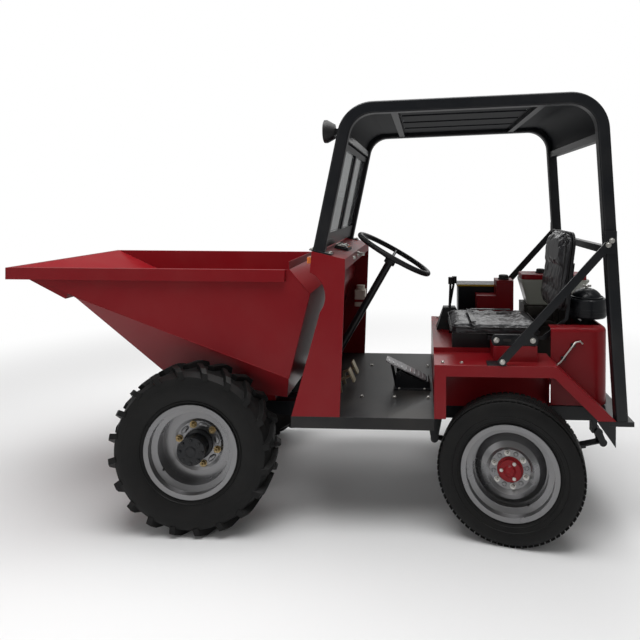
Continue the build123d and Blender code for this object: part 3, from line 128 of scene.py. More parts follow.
class Effects:
    """Shader node groups that several finishes share. They give masks, colours and normals only."""

    BEVEL_SAMPLES = 4
    DUST_ON_TOP, DUST_ANYWHERE = 0.45, 0.55
    DUST_DETAIL, DUST_PATCHES = 6.0, (0.38, 0.72)
    WEAR_SCALE, WEAR_DETAIL, WEAR_PATCHES = 22.0, 8.0, (0.5, 0.66)
    WEAR_GAIN = 9.0
    DRIFT_DETAIL, DRIFT_MIDDLE = 5.0, 0.5
    GRAIN_DETAIL, GRAIN_DEPTH = 3.0, 0.002

    def __init__(self) -> None:
        """Build the groups."""
        self.dust = self._dust()
        self.wear = self._wear()
        self.drift = self._drift()
        self.grain = self._grain()

    @staticmethod
    def _group(name: str, inputs: dict[str, float | None], output: str, kind: str) -> tuple[Tree, Node, Node]:
        """Start a group.

        Args:
            name: the group's name.
            inputs: each input's name and default, which is None for a colour.
            output: the output's name.
            kind: the output's socket type.

        Returns:
            The group, its input node and its output node.
        """
        group = bpy.data.node_groups.new(name, "ShaderNodeTree")
        for label, default in inputs.items():
            socket_type = "NodeSocketColor" if default is None else "NodeSocketFloat"
            socket = group.interface.new_socket(label, in_out="INPUT", socket_type=socket_type)
            if default is not None:
                socket.default_value = default
        group.interface.new_socket(output, in_out="OUTPUT", socket_type=kind)
        return group, group.nodes.new("NodeGroupInput"), group.nodes.new("NodeGroupOutput")

    @staticmethod
    def _maths(group: Tree, operation: str, *values: object) -> Socket:
        """Add a maths node over outputs or numbers, and return its output."""
        return add(group, "ShaderNodeMath", dict(enumerate(values)), operation=operation).outputs[0]

    @staticmethod
    def _noise(group: Tree, scale: object, detail: float) -> Socket:
        """Add noise over the object's own coordinates.

        Args:
            group: the group.
            scale: its scale, as an output or a number.
            detail: its detail.

        Returns:
            The noise's value.
        """
        place = add(group, "ShaderNodeTexCoord", {}).outputs["Object"]
        inputs = {"Vector": place, "Scale": scale, "Detail": detail}
        return add(group, "ShaderNodeTexNoise", inputs).outputs["Fac"]

    def _patches(self, group: Tree, scale: object, detail: float, limits: Flat) -> Socket:
        """Add a mask of noisy patches.

        Args:
            group: the group.
            scale: the noise's scale, as an output or a number.
            detail: its detail.
            limits: the noise values where a patch starts and where it is full.

        Returns:
            The mask's output.
        """
        value = {"Value": self._noise(group, scale, detail), "From Min": limits[0], "From Max": limits[1]}
        return add(group, "ShaderNodeMapRange", value).outputs["Result"]

    def _bevel(self, group: Tree, radius: object) -> Socket:
        """Add a rounded normal and return it."""
        return add(group, "ShaderNodeBevel", {"Radius": radius}, samples=self.BEVEL_SAMPLES).outputs["Normal"]

    def _dust(self) -> Tree:
        """Mask of dust, which lies on what faces up and in patches.

        Returns:
            The group, with its scale and amount as inputs.
        """
        inputs = {"Scale": 6.0, "Amount": 0.3}
        group, given, result = self._group("DustMask", inputs, "Mask", "NodeSocketFloat")
        normal = add(group, "ShaderNodeNewGeometry", {}).outputs["Normal"]
        height = add(group, "ShaderNodeSeparateXYZ", {0: normal}).outputs["Z"]
        facing = self._maths(group, "MULTIPLY_ADD", height, self.DUST_ON_TOP, self.DUST_ANYWHERE)
        patches = self._patches(group, given.outputs["Scale"], self.DUST_DETAIL, self.DUST_PATCHES)
        both = self._maths(group, "MULTIPLY", facing, patches)
        feed(group, result, {"Mask": self._maths(group, "MULTIPLY", both, given.outputs["Amount"])})
        return group

    def _wear(self) -> Tree:
        """Mask of rubbed edges: where the rounded normal leaves the true one, broken up by noise.

        Returns:
            The group, with the edges' radius and the amount as inputs.
        """
        inputs = {"Radius": 0.004, "Amount": 0.5}
        group, given, result = self._group("EdgeWear", inputs, "Mask", "NodeSocketFloat")
        normals = {0: self._bevel(group, given.outputs["Radius"]),
                   1: add(group, "ShaderNodeNewGeometry", {}).outputs["Normal"]}
        alike = add(group, "ShaderNodeVectorMath", normals, operation="DOT_PRODUCT").outputs["Value"]
        bent = self._maths(group, "MULTIPLY", self._maths(group, "SUBTRACT", 1.0, alike), self.WEAR_GAIN)
        patches = self._patches(group, self.WEAR_SCALE, self.WEAR_DETAIL, self.WEAR_PATCHES)
        broken = self._maths(group, "MULTIPLY", bent, patches)
        amount = self._maths(group, "MULTIPLY", broken, given.outputs["Amount"])
        amount.node.use_clamp = True
        feed(group, result, {"Mask": amount})
        return group

    def _drift(self) -> Tree:
        """A colour that drifts a little lighter and darker over the surface.

        Returns:
            The group, with the colour, the scale and the amount as inputs.
        """
        inputs = {"Colour": None, "Scale": 3.0, "Amount": 0.15}
        group, given, result = self._group("ColourDrift", inputs, "Colour", "NodeSocketColor")
        patches = self._noise(group, given.outputs["Scale"], self.DRIFT_DETAIL)
        centred = self._maths(group, "SUBTRACT", patches, self.DRIFT_MIDDLE)
        swing = self._maths(group, "MULTIPLY", centred, given.outputs["Amount"])
        value = self._maths(group, "ADD", swing, 1.0)
        shift = add(group, "ShaderNodeHueSaturation", {"Value": value, "Color": given.outputs["Colour"]})
        feed(group, result, {"Colour": shift.outputs["Color"]})
        return group

    def _grain(self) -> Tree:
        """Rounded edges with a fine grain in the surface.

        Returns:
            The group, with the edges' radius and the grain's scale and strength as inputs.
        """
        inputs = {"Radius": 0.002, "Scale": 120.0, "Strength": 0.1}
        group, given, result = self._group("GrainNormal", inputs, "Normal", "NodeSocketVector")
        bump = add(group, "ShaderNodeBump", {
            "Distance": self.GRAIN_DEPTH,
            "Strength": given.outputs["Strength"],
            "Height": self._noise(group, given.outputs["Scale"], self.GRAIN_DETAIL),
            "Normal": self._bevel(group, given.outputs["Radius"]),
        })
        feed(group, result, {"Normal": bump.outputs["Normal"]})
        return group


# ---------------------------------------------------------------- finishes
@dataclass(frozen=True)
class Finish:
    """One surface: its slot, its shader's own values and how much of each shared effect it shows."""

    name: str
    slot: Slot
    colour: Colour
    roughness: float
    metallic: float = 0.0
    coat: float = 0.0
    coat_roughness: float = 0.05
    specular: float = 0.5
    edge_radius: float = 0.0015
    grain_scale: float = 90.0
    grain: float = 0.06
    drift: float = 0.18
    drift_scale: float = 2.5
    dust: float = 0.25
    dust_scale: float = 5.0
    dust_colour: Colour = (0.22, 0.20, 0.17)
    dust_roughness: float = 0.45
    wear: float = 0.0
    wear_colour: Colour = (0.16, 0.15, 0.14)
    wear_reach: float = 2.0

    def build(self, effects: Effects) -> bpy.types.Material:
        """Make the material.

        Args:
            effects: the shared node groups.

        Returns:
            The material, with its Principled shader and the effects wired to it.
        """
        material = bpy.data.materials.new(self.name)
        material.use_nodes = True
        tree = material.node_tree
        shader = tree.nodes["Principled BSDF"]
        drift = self._effect(
            tree, effects.drift, Colour=(*self.colour, 1.0), Scale=self.drift_scale, Amount=self.drift
        )
        dust = self._effect(tree, effects.dust, Scale=self.dust_scale, Amount=self.dust)
        colour = self._mix(tree, dust, drift, self.dust_colour)
        if self.wear > 0:
            reach = self.edge_radius * self.wear_reach
            wear = self._effect(tree, effects.wear, Radius=reach, Amount=self.wear)
            colour = self._mix(tree, wear, colour, self.wear_colour)
        rough = add(tree, "ShaderNodeMapRange", {
            "Value": dust,
            "To Min": self.roughness,
            "To Max": min(self.roughness + self.dust_roughness, 1.0),
        })
        grain = self._effect(
            tree, effects.grain, Radius=self.edge_radius, Scale=self.grain_scale, Strength=self.grain
        )
        feed(tree, shader, {
            "Base Color": colour,
            "Roughness": rough.outputs["Result"],
            "Metallic": self.metallic,
            "Coat Weight": self.coat,
            "Coat Roughness": self.coat_roughness,
            "Specular IOR Level": self.specular,
            "Normal": grain,
        })
        self.extend(tree, shader)
        return material

    def extend(self, tree: Tree, shader: Node) -> None:
        """Add what only this kind of finish has: nothing for plain paint, metal and rubber."""

    @staticmethod
    def _effect(tree: Tree, group: Tree, **values: object) -> Socket:
        """Place a shared group with these input values, and return its output."""
        return add(tree, "ShaderNodeGroup", values, node_tree=group).outputs[0]

    @staticmethod
    def _mix(tree: Tree, mask: object, under: object, over: Colour) -> Socket:
        """Lay a plain colour over another one by a mask, and return the colour."""
        inputs = {"Factor": mask, "A": under, "B": (*over, 1.0)}
        return add(tree, "ShaderNodeMix", inputs, data_type="RGBA").outputs["Result"]


@dataclass(frozen=True)
class Glass(Finish):
    """A clear pane or lens."""

    transmission: float = 0.95
    ior: float = 1.45

    def extend(self, tree: Tree, shader: Node) -> None:
        """Let light through."""
        feed(tree, shader, {"Transmission Weight": self.transmission, "IOR": self.ior})


@dataclass(frozen=True)
class Film(Finish):
    """A cover under crinkled clear film: long soft creases that catch the light."""

    crease: float = 0.5
    crease_depth: float = 0.006
    crease_scale: float = 9.0
    crease_detail: float = 5.0
    crease_twist: float = 1.4

    def extend(self, tree: Tree, shader: Node) -> None:
        """Crease the cover over its own grain, and the film's gloss by itself.

        Args:
            tree: the material's nodes.
            shader: its Principled shader.
        """
        folds = add(tree, "ShaderNodeTexNoise", {
            "Vector": add(tree, "ShaderNodeTexCoord", {}).outputs["Object"],
            "Scale": self.crease_scale,
            "Detail": self.crease_detail,
            "Distortion": self.crease_twist,
        }, noise_type="RIDGED_MULTIFRACTAL")
        crease = {"Strength": self.crease, "Distance": self.crease_depth, "Height": folds.outputs["Fac"]}
        grain = shader.inputs["Normal"].links[0].from_socket
        cover = add(tree, "ShaderNodeBump", {**crease, "Normal": grain})
        gloss = add(tree, "ShaderNodeBump", crease)
        feed(tree, shader, {"Normal": cover.outputs["Normal"], "Coat Normal": gloss.outputs["Normal"]})


class Finishes:
    """The machine's finishes, each made into a material once."""

    RED = Finish("red_gloss", Slot.RED, (0.205, 0.005, 0.009), 0.36, coat=0.10, coat_roughness=0.14,
                 specular=0.14, grain=0.035, grain_scale=60.0, dust=0.06, wear=0.35,
                 wear_colour=(0.07, 0.015, 0.015))
    BLACK = Finish("black_gloss", Slot.BLACK, (0.006, 0.007, 0.009), 0.34, coat=0.12, coat_roughness=0.2,
                   specular=0.2, dust=0.07, wear=0.3, wear_colour=(0.06, 0.06, 0.06))
    ROOF = Finish("roof_sheet", Slot.BLACK, (0.006, 0.007, 0.009), 0.5, specular=0.06, dust=0.04)
    DECK = Finish("deck_grey", Slot.DECK, (0.013, 0.013, 0.014), 0.38, coat=0.05, specular=0.16, dust=0.14,
                  dust_scale=3.5, grain=0.12, wear=0.5, wear_colour=(0.12, 0.12, 0.12))
    PLASTIC = Finish("black_plastic", Slot.PLASTIC, (0.008, 0.008, 0.009), 0.45, specular=0.25,
                     grain_scale=400.0, grain=0.2, dust=0.07)
    AMBER = Finish("amber_lens", Slot.AMBER, (0.75, 0.20, 0.03), 0.2, coat=0.6, dust=0.1)
    ZINC = Finish("zinc", Slot.ZINC, (0.50, 0.44, 0.30), 0.34, metallic=0.9, dust=0.3, grain=0.15)
    WHITE = Finish("white_plastic", Slot.WHITE, (0.62, 0.56, 0.48), 0.4, dust=0.2)
    SEAT = Film("seat_vinyl", Slot.SEAT, (0.015, 0.015, 0.017), 0.45, coat=0.25, coat_roughness=0.12,
                dust=0.12, dust_scale=16.0, dust_colour=(0.13, 0.13, 0.14), grain_scale=220.0, grain=0.2)
    ENGINE = Finish("engine_green", Slot.ENGINE, (0.022, 0.020, 0.017), 0.5, specular=0.25, dust=0.12,
                    grain=0.3, grain_scale=70.0)
    HOPPER = Finish("hopper_grey", Slot.ENGINE, (0.30, 0.31, 0.27), 0.35, coat=0.3, dust=0.3, grain=0.12)
    GLASS = Glass("clear_pane", Slot.GLASS, (0.86, 0.90, 0.90), 0.03, dust=0.12, grain=0.0)
    TYRE = Finish("tyre_rubber", Slot.TYRE, (0.0065, 0.0065, 0.0065), 0.5, specular=0.16, grain_scale=180.0,
                  grain=0.25, dust=0.10, dust_scale=9.0, dust_colour=(0.06, 0.055, 0.05), drift=0.35,
                  edge_radius=0.003)
    RIM = Finish("rim_silver", Slot.RIM, (0.20, 0.20, 0.205), 0.27, metallic=0.9, dust=0.25,
                 dust_colour=(0.20, 0.18, 0.15), grain=0.05, edge_radius=0.002)
    ROD = Finish("hard_chrome", Slot.ROD, (0.70, 0.70, 0.70), 0.12, metallic=1.0, dust=0.1, grain=0.0)
    BOLT = Finish("bolt_zinc", Slot.ZINC, (0.52, 0.51, 0.48), 0.33, metallic=0.9, dust=0.2,
                  edge_radius=0.0006)
    BRASS = Finish("nut_brass", Slot.ZINC, (0.40, 0.30, 0.15), 0.42, metallic=0.9, dust=0.2,
                   edge_radius=0.0006)
    # Dark caps and dial marks; on the seat's side plate the same finish is also the painted shade of the slots.
    DARK = Finish("dark_parts_and_painted_slot_shade", Slot.PLASTIC, (0.010, 0.010, 0.010), 0.7, dust=0.1)
    YELLOW = Finish("yellow_edge", Slot.AMBER, (0.62, 0.42, 0.03), 0.4, dust=0.2)
    DIAL = Finish("dial_face", Slot.WHITE, (0.50, 0.50, 0.47), 0.4, dust=0.1)
    LENS = Glass("lamp_lens", Slot.GLASS, (0.85, 0.87, 0.88), 0.12, dust=0.2, transmission=0.6)
    WRAP = Film("film_wrap", Slot.PLASTIC, (0.15, 0.14, 0.15), 0.3, coat=0.9, coat_roughness=0.1, dust=0.5,
                dust_scale=24.0, dust_colour=(0.45, 0.45, 0.45))
    FLOOR = Finish("pale_floor", Slot.STAGE, (0.80, 0.80, 0.80), 0.9, dust=0.0, drift=0.01, grain=0.0)

    OF_NODES = (RED, BLACK, DECK, PLASTIC, AMBER, ZINC, WHITE, SEAT, ENGINE, GLASS, TYRE, RIM, ROD)
    OF_ONE_NODE = {"water_hopper": HOPPER, "canopy": ROOF}

    def __init__(self, effects: Effects) -> None:
        """Keep the shared effects for the materials to come."""
        self._effects = effects
        self._made: dict[str, bpy.types.Material] = {}

    def get(self, finish: Finish) -> bpy.types.Material:
        """The material of a finish.

        Args:
            finish: the finish.

        Returns:
            Its material, made at the first call.
        """
        if finish.name not in self._made:
            self._made[finish.name] = finish.build(self._effects)
        return self._made[finish.name]

    def dress_nodes(self) -> None:
        """Give every CAD node the finish of its slot, or its own one."""
        by_slot = {finish.slot: finish for finish in self.OF_NODES}
        for entry in frame["record"]["subparts"]:
            finish = self.OF_ONE_NODE.get(entry["node"], by_slot[Slot(entry["material_slot"])])
            materials = frame["nodes"][entry["node"]].data.materials
            materials.clear()
            materials.append(self.get(finish))


# ---------------------------------------------------------------- mesh work
def axes_at(origin: Point, outward: Point, up: Point = UP) -> Matrix:
    """A frame with its origin here and its local z outward.

    Args:
        origin: the frame's place.
        outward: where local z points.
        up: roughly where local x points.

    Returns:
        The matrix from local to machine coordinates.
    """
    z = Vector(outward).normalized()
    x = Vector(up) - Vector(up).project(z)
    if x.length < TINY:
        x = Vector(REAR) - Vector(REAR).project(z)
    x.normalize()
    turn = Matrix((x, z.cross(x), z)).transposed().to_4x4()
    return Matrix.Translation(origin) @ turn


def turned(degrees: float, axis: str = "Z") -> Matrix:
    """A turn about one of the local axes."""
    return Matrix.Rotation(math.radians(degrees), 4, axis)


def rounded(length: float, width: float, radius: float, steps: int = 6) -> list[Flat]:
    """A rectangle with rounded corners about the origin, anticlockwise.

    Args:
        length: its size along x.
        width: its size along y.
        radius: the corners' radius.
        steps: straight runs in each corner.

    Returns:
        The outline's points.
    """
    points = []
    for quarter, (sx, sy) in enumerate(((1, 1), (-1, 1), (-1, -1), (1, -1))):
        for step in range(steps + 1):
            angle = math.pi / 2 * (quarter + step / steps)
            points.append((sx * (length / 2 - radius) + radius * math.cos(angle),
                           sy * (width / 2 - radius) + radius * math.sin(angle)))
    return points


class Shape:
    """Mesh geometry of one piece, collected from simple forms in machine coordinates."""

    SHARP_DEG = 35.0
    # Shares of a bolt head's radius and height.
    WASHER = (1.25, 0.2)
    CHAMFER = (0.86, 0.85)

    def __init__(self, name: str) -> None:
        """Start an empty piece of this name."""
        self.name = name
        self.mesh = bmesh.new()

    def box(self, centre: Point, size: Point, place: Matrix = Matrix(), bevel: float = 0.0) -> "Shape":
        """Add a box.

        Args:
            centre: its middle in the frame.
            size: its sides.
            place: the frame.
            bevel: how far its edges are rounded.

        Returns:
            The shape.
        """
        scaled = place @ Matrix.Translation(centre) @ Matrix.Diagonal((*size, 1.0))
        made = bmesh.ops.create_cube(self.mesh, size=1.0, matrix=scaled)
        if bevel:
            edges = list({edge for vertex in made["verts"] for edge in vertex.link_edges})
            bmesh.ops.bevel(self.mesh, geom=edges, offset=bevel, segments=2, profile=0.5, affect="EDGES")
        return self

    def lathe(self, profile: Outline, place: Matrix, steps: int = 48) -> "Shape":
        """Turn a profile about the frame's z.

        Args:
            profile: (radius, height) points.
            place: the frame.
            steps: the straight runs of a full turn.

        Returns:
            The shape.
        """
        rings = []
        for turn in range(steps):
            angle = 2 * math.pi * turn / steps
            rings.append([
                self.mesh.verts.new(place @ Vector((r * math.cos(angle), r * math.sin(angle), z)))
                for r, z in profile
            ])
        for here, after in zip(rings, rings[1:] + rings[:1]):
            for i in range(len(profile) - 1):
                if max(profile[i][0], profile[i + 1][0]) > TINY:
                    self.mesh.faces.new((here[i], after[i], after[i + 1], here[i + 1]))
        return self

    def prism(self, outline: Outline, place: Matrix, depth: float) -> "Shape":
        """Extrude an outline along the frame's z.

        Args:
            outline: its corners in the frame's xy.
            place: the frame.
            depth: how far it goes.

        Returns:
            The shape.
        """
        low = [self.mesh.verts.new(place @ Vector((x, y, 0))) for x, y in outline]
        high = [self.mesh.verts.new(place @ Vector((x, y, depth))) for x, y in outline]
        self.mesh.faces.new(list(reversed(low)))
        self.mesh.faces.new(high)
        for i, vertex in enumerate(low):
            after = (i + 1) % len(low)
            self.mesh.faces.new((vertex, low[after], high[after], high[i]))
        return self

    def side_plate(self, outline: Outline, y: float, depth: float) -> "Shape":
        """Add a plate drawn from the side, growing towards the machine's left.

        Args:
            outline: its corners as (x, z).
            y: where its right face stands.
            depth: its thickness.

        Returns:
            The shape.
        """
        return self.prism([(z, -x) for x, z in outline], axes_at((0, y, 0), LEFT), depth)

    def hex_head(self, place: Matrix, across: float, height: float) -> "Shape":
        """Add a washer, a hexagon head and the chamfer on it.

        Args:
            place: the frame on the face that it is screwed to.
            across: its size across flats.
            height: its height with the washer.

        Returns:
            The shape.
        """
        radius = across / math.sqrt(3)
        rim, washer = radius * self.WASHER[0], height * self.WASHER[1]
        crown, shoulder = radius * self.CHAMFER[0], height * self.CHAMFER[1]
        self.lathe([(0, 0), (rim, 0), (rim, washer), (0, washer)], place, 20)
        return self.lathe([(radius, washer), (radius, shoulder), (crown, height), (0, height)], place, 6)

    def tube(self, points: list[Point], radius: float, sides: int = 12, closed: bool = False) -> "Shape":
        """Sweep a round bar through points.

        Args:
            points: its path.
            radius: the bar's radius.
            sides: the flats round it.
            closed: whether its end joins its start.

        Returns:
            The shape.
        """
        path = [Vector(point) for point in points]
        count = len(path)
        rings = []
        normal = None
        for i, point in enumerate(path):
            before = path[i - 1] if i or closed else point
            after = path[(i + 1) % count] if i < count - 1 or closed else point
            along = (after - before).normalized()
            if normal is None:
                normal = along.orthogonal()
            normal = (normal - normal.project(along)).normalized()
            side = along.cross(normal)
            rings.append([
                self.mesh.verts.new(point + radius * (normal * math.cos(a) + side * math.sin(a)))
                for a in (2 * math.pi * k / sides for k in range(sides))
            ])
        for i in range(count if closed else count - 1):
            here, after = rings[i], rings[(i + 1) % count]
            for k in range(sides):
                n = (k + 1) % sides
                self.mesh.faces.new((here[k], here[n], after[n], after[k]))
        if not closed:
            self.mesh.faces.new(list(reversed(rings[0])))
            self.mesh.faces.new(rings[-1])
        return self

    def close(self) -> bpy.types.Mesh:
        """End the piece: weld it, turn its faces outward and round their shading.

        Returns:
            The mesh.
        """
        bmesh.ops.remove_doubles(self.mesh, verts=self.mesh.verts, dist=TINY)
        bmesh.ops.recalc_face_normals(self.mesh, faces=self.mesh.faces)
        for face in self.mesh.faces:
            face.smooth = True
        sharp = math.radians(self.SHARP_DEG)
        for edge in self.mesh.edges:
            edge.smooth = len(edge.link_faces) == 2 and edge.calc_face_angle(0) < sharp
        data = bpy.data.meshes.new(self.name)
        self.mesh.to_mesh(data)
        self.mesh.free()
        return data


def place_in_scene(name: str, data: bpy.types.ID) -> bpy.types.Object:
    """Make an object.

    Args:
        name: its name.
        data: its mesh, light or camera.

    Returns:
        The object, linked to the scene.
    """
    made = bpy.data.objects.new(name, data)
    bpy.context.scene.collection.objects.link(made)
    return made


# ---------------------------------------------------------------- stage
@dataclass(frozen=True)
class SoftLight:
    """A square light aimed at the machine's middle."""

    name: str
    place: Point
    size: float
    power: float
    aim: Point = (0, 0, 0.9)

    def build(self) -> None:
        """Hang the light."""
        data = bpy.data.lights.new(self.name, "AREA")
        data.size = self.size
        data.energy = self.power
        lamp = place_in_scene(self.name, data)
        lamp.location = self.place
        lamp.rotation_mode = "QUATERNION"
        lamp.rotation_quaternion = (Vector(self.aim) - Vector(self.place)).to_track_quat("-Z", "Y")


@dataclass(frozen=True)
class Stage:
    """Floor, light and camera."""

    camera_place: Point = (0.5482, -3.0822, 1.5639)
    camera_turn_deg: Point = (89.8627, -0.2449, 2.162)
    lens_mm: float = 30.547
    sensor_mm: float = 36.0
    shift: Flat = (-0.1305, -0.1821)
    ambient: float = 0.26
    lights: tuple[SoftLight, ...] = (
        SoftLight("key", (0.2, -0.5, 5.0), 4.2, 330.0),
        SoftLight("fill", (-3.6, -4.2, 2.2), 2.6, 22.0),
        SoftLight("back", (1.6, 4.5, 4.2), 4.0, 110.0),
    )
    floor_size: float = 60.0
    floor_thick: float = 0.04
    floor_clear: Flat = (2.6, 5.0)

    def build(self, finishes: Finishes) -> None:
        """Make the stage.

        Args:
            finishes: the finishes, of which it takes the floor's.
        """
        self._floor(finishes.get(Finishes.FLOOR))
        self._world()
        for light in self.lights:
            light.build()
        data = bpy.data.cameras.new("camera")
        data.lens = self.lens_mm
        data.sensor_width = self.sensor_mm
        data.shift_x, data.shift_y = self.shift
        camera = place_in_scene("camera", data)
        camera.location = self.camera_place
        camera.rotation_euler = [math.radians(angle) for angle in self.camera_turn_deg]
        bpy.context.scene.camera = camera
        bpy.context.scene.view_settings.view_transform = "Standard"

    def _floor(self, material: bpy.types.Material) -> None:
        """Lay the floor, which passes into the white background away from the machine.

        Args:
            material: its material.
        """
        size = (self.floor_size, self.floor_size, self.floor_thick)
        slab = Shape("floor").box((0, 0, -self.floor_thick / 2), size)
        floor = place_in_scene(slab.name, slab.close())
        floor.data.materials.append(material)
        tree = material.node_tree
        place = add(tree, "ShaderNodeTexCoord", {}).outputs["Object"]
        away = add(tree, "ShaderNodeVectorMath", {0: place}, operation="LENGTH").outputs["Value"]
        limits = {"Value": away, "From Min": self.floor_clear[0], "From Max": self.floor_clear[1]}
        ramp = add(tree, "ShaderNodeMapRange", limits, interpolation_type="SMOOTHSTEP").outputs["Result"]
        camera_ray = add(tree, "ShaderNodeLightPath", {}).outputs["Is Camera Ray"]
        seen = add(tree, "ShaderNodeMath", {0: ramp, 1: camera_ray}, operation="MULTIPLY").outputs[0]
        white = add(tree, "ShaderNodeEmission", {"Color": LIT_WHITE}).outputs[0]
        lit = tree.nodes["Principled BSDF"].outputs[0]
        mix = add(tree, "ShaderNodeMixShader", {"Fac": seen, 1: lit, 2: white})
        feed(tree, tree.nodes["Material Output"], {"Surface": mix.outputs[0]})

    def _world(self) -> None:
        """Soft light from all round, with plain white where the camera looks past the floor."""
        world = bpy.data.worlds.new("studio")
        world.use_nodes = True
        tree = world.node_tree
        lit = tree.nodes["Background"]
        feed(tree, lit, {"Color": LIT_WHITE, "Strength": self.ambient})
        seen = add(tree, "ShaderNodeBackground", {"Color": LIT_WHITE})
        camera_ray = add(tree, "ShaderNodeLightPath", {}).outputs["Is Camera Ray"]
        mix = add(tree, "ShaderNodeMixShader", {"Fac": camera_ray, 1: lit.outputs[0], 2: seen.outputs[0]})
        feed(tree, tree.nodes["World Output"], {"Surface": mix.outputs[0]})
        bpy.context.scene.world = world


# ---------------------------------------------------------------- sub-assemblies
@dataclass(frozen=True)
class Assembly:
    """A group of pieces, which ride on the chassis where nothing else is said."""

    finishes: Finishes
    pieces: list[bpy.types.Object] = field(default_factory=list, init=False)
    body: ClassVar[str] = "chassis"
    head_height: ClassVar[float] = 0.55

    def put(self, shape: Shape, finish: Finish, body: str | None = None) -> None:
        """Make a shape a piece of the machine.

        Args:
            shape: the piece's geometry.
            finish: its finish.
            body: the CAD body that it rides on, if it isn't the assembly's own.
        """
        self.register(place_in_scene(shape.name, shape.close()), finish, body or self.body)

    def register(self, piece: bpy.types.Object, finish: Finish, body: str) -> None:
        """Give a piece its material and body, and add it to the assembly's pieces.

        Args:
            piece: the piece.
            finish: its finish.
            body: the CAD body that it rides on.
        """
        piece.data.materials.append(self.finishes.get(finish))
        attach(piece, body)
        self.pieces.append(piece)

    def bolts(self, name: str, places: list[Point], outward: Point, across: float) -> None:
        """Put zinc bolt heads on a face.

        Args:
            name: the piece's name.
            places: where the bolts are.
            outward: where their heads point.
            across: their size across flats.
        """
        heads = Shape(name)
        for place in places:
            heads.hex_head(axes_at(place, outward), across, across * self.head_height)
        self.put(heads, Finishes.BOLT)


@dataclass(frozen=True)
class Wheel(Assembly):
    """What both kinds of wheel share. Heights along the axle are counted from the wheel's centre."""

    label: str = "left"
    side: int = -1
    axle: ClassVar[str] = "front"
    nut_count: ClassVar[int] = 6
    ring_steps: ClassVar[int] = 96
    valve_lean_deg: ClassVar[float] = -24.0

    @property
    def body(self) -> str:
        """The wheel's body."""
        return f"wheel_{self.axle}_{self.label}"

    @property
    def place(self) -> Matrix:
        """The wheel's own frame.

        Returns:
            The matrix to machine coordinates, with z out of the machine.
        """
        spin = next(entry for entry in frame["joints"] if entry["name"] == f"{self.axle}_{self.label}_spin")
        outward = Vector(spin["axis"])
        return axes_at(spin["pos_m"], outward * (self.side if outward.y > 0 else -self.side))

    def around(self, count: int, radius: float, height: float, start: float = 0.0) -> list[Matrix]:
        """Frames evenly round the axle.

        Args:
            count: how many.
            radius: their distance from the axle.
            height: their height along it.
            start: the first one's angle in degrees.

        Returns:
            One frame each, with x away from the axle.
        """
        away, place = Matrix.Translation((radius, 0, height)), self.place
        return [place @ turned(start + 360 * i / count) @ away for i in range(count)]

    def repeat(self, name: str, finish: Finish, spots: list[Matrix], profile: Outline, steps: int,
               head: Flat | None = None) -> None:
        """Make one piece of turned forms, with or without hexagon heads.

        Args:
            name: the piece's name without the side.
            finish: its finish.
            spots: the forms' frames.
            profile: each form's profile.
            steps: the straight runs of a full turn.
            head: a head's size across flats and height.
        """
        shape = Shape(f"{name}_{self.label}")
        for spot in spots:
            shape.lathe(profile, spot, steps)
            if head:
                shape.hex_head(spot, *head)
        self.put(shape, finish)

    def rings(self, spots: tuple[Flat, ...]) -> None:
        """Mould rings on both walls of the tyre.

        Args:
            spots: each ring's radius and the tyre's half-width there.
        """
        shape = Shape(f"{self.axle}_tyre_rings_{self.label}")
        foot, crest, sunk, proud = 0.004, 0.0015, 0.003, 0.0016
        for radius, half in spots:
            for s in (-1, 1):
                shape.lathe([(radius - foot, s * (half - sunk)), (radius - crest, s * (half + proud)),
                             (radius + crest, s * (half + proud)), (radius + foot, s * (half - sunk))],
                            self.place, self.ring_steps)
        self.put(shape, Finishes.TYRE)

    def valve(self, radius: float, height: float, angle: float) -> None:
        """Add the tyre's valve with its cap.

        Args:
            radius: its distance from the axle.
            height: its height along it.
            angle: its angle on the left wheel, mirrored on the right one.
        """
        stem = self.around(1, radius, height, angle * self.side)[0] @ turned(self.valve_lean_deg, "Y")
        profile = [(0, -0.03), (0.0042, -0.03), (0.0042, 0.008), (0.0052, 0.009), (0.0052, 0.022),
                   (0.003, 0.025), (0, 0.025)]
        self.repeat(f"{self.axle}_valve", Finishes.PLASTIC, [stem], profile, 16)


@dataclass(frozen=True)
class FrontWheel(Wheel):
    """Drive wheel: nuts on the deep disc, pads between them, hub bolts and the valve."""

    nut_circle: float = 0.096
    nut_start_deg: float = 15.0
    nut: Flat = (0.024, 0.015)
    disc_face: float = -0.0281
    pad_circle: float = 0.094
    pad_stretch: Flat = (0.62, 1.25)
    lobe_count: int = 8
    hub_circle: float = 0.053
    hub_face: float = 0.0598
    hub_bolt: Flat = (0.013, 0.007)
    tyre_rings: tuple[Flat, ...] = ((0.240, 0.0722), (0.318, 0.0851))

    def build(self) -> None:
        """Dress one front wheel."""
        nuts = self.around(self.nut_count, self.nut_circle, self.disc_face, self.nut_start_deg)
        self.repeat("front_nuts", Finishes.BRASS, nuts,
                    [(0.0065, 0.012), (0.0065, 0.021), (0.004, 0.023), (0, 0.023)], 16, self.nut)
        stretch = Matrix.Diagonal((*self.pad_stretch, 1.0, 1.0))
        between = self.nut_start_deg + 180 / self.nut_count
        pads = self.around(self.nut_count, self.pad_circle, self.disc_face, between)
        self.repeat("front_pads", Finishes.RIM, [spot @ stretch for spot in pads],
                    [(0.020, -0.001), (0.017, 0.005), (0.010, 0.008), (0, 0.0085)], 24)
        lobes = self.around(self.lobe_count, self.hub_circle, self.hub_face)
        self.repeat("front_lobes", Finishes.BLACK, lobes,
                    [(0.013, -0.012), (0.0125, -0.001), (0.011, 0.001), (0, 0.001)], 20, self.hub_bolt)
        self.valve(0.178, 0.018, -125)
        self.rings(self.tyre_rings)


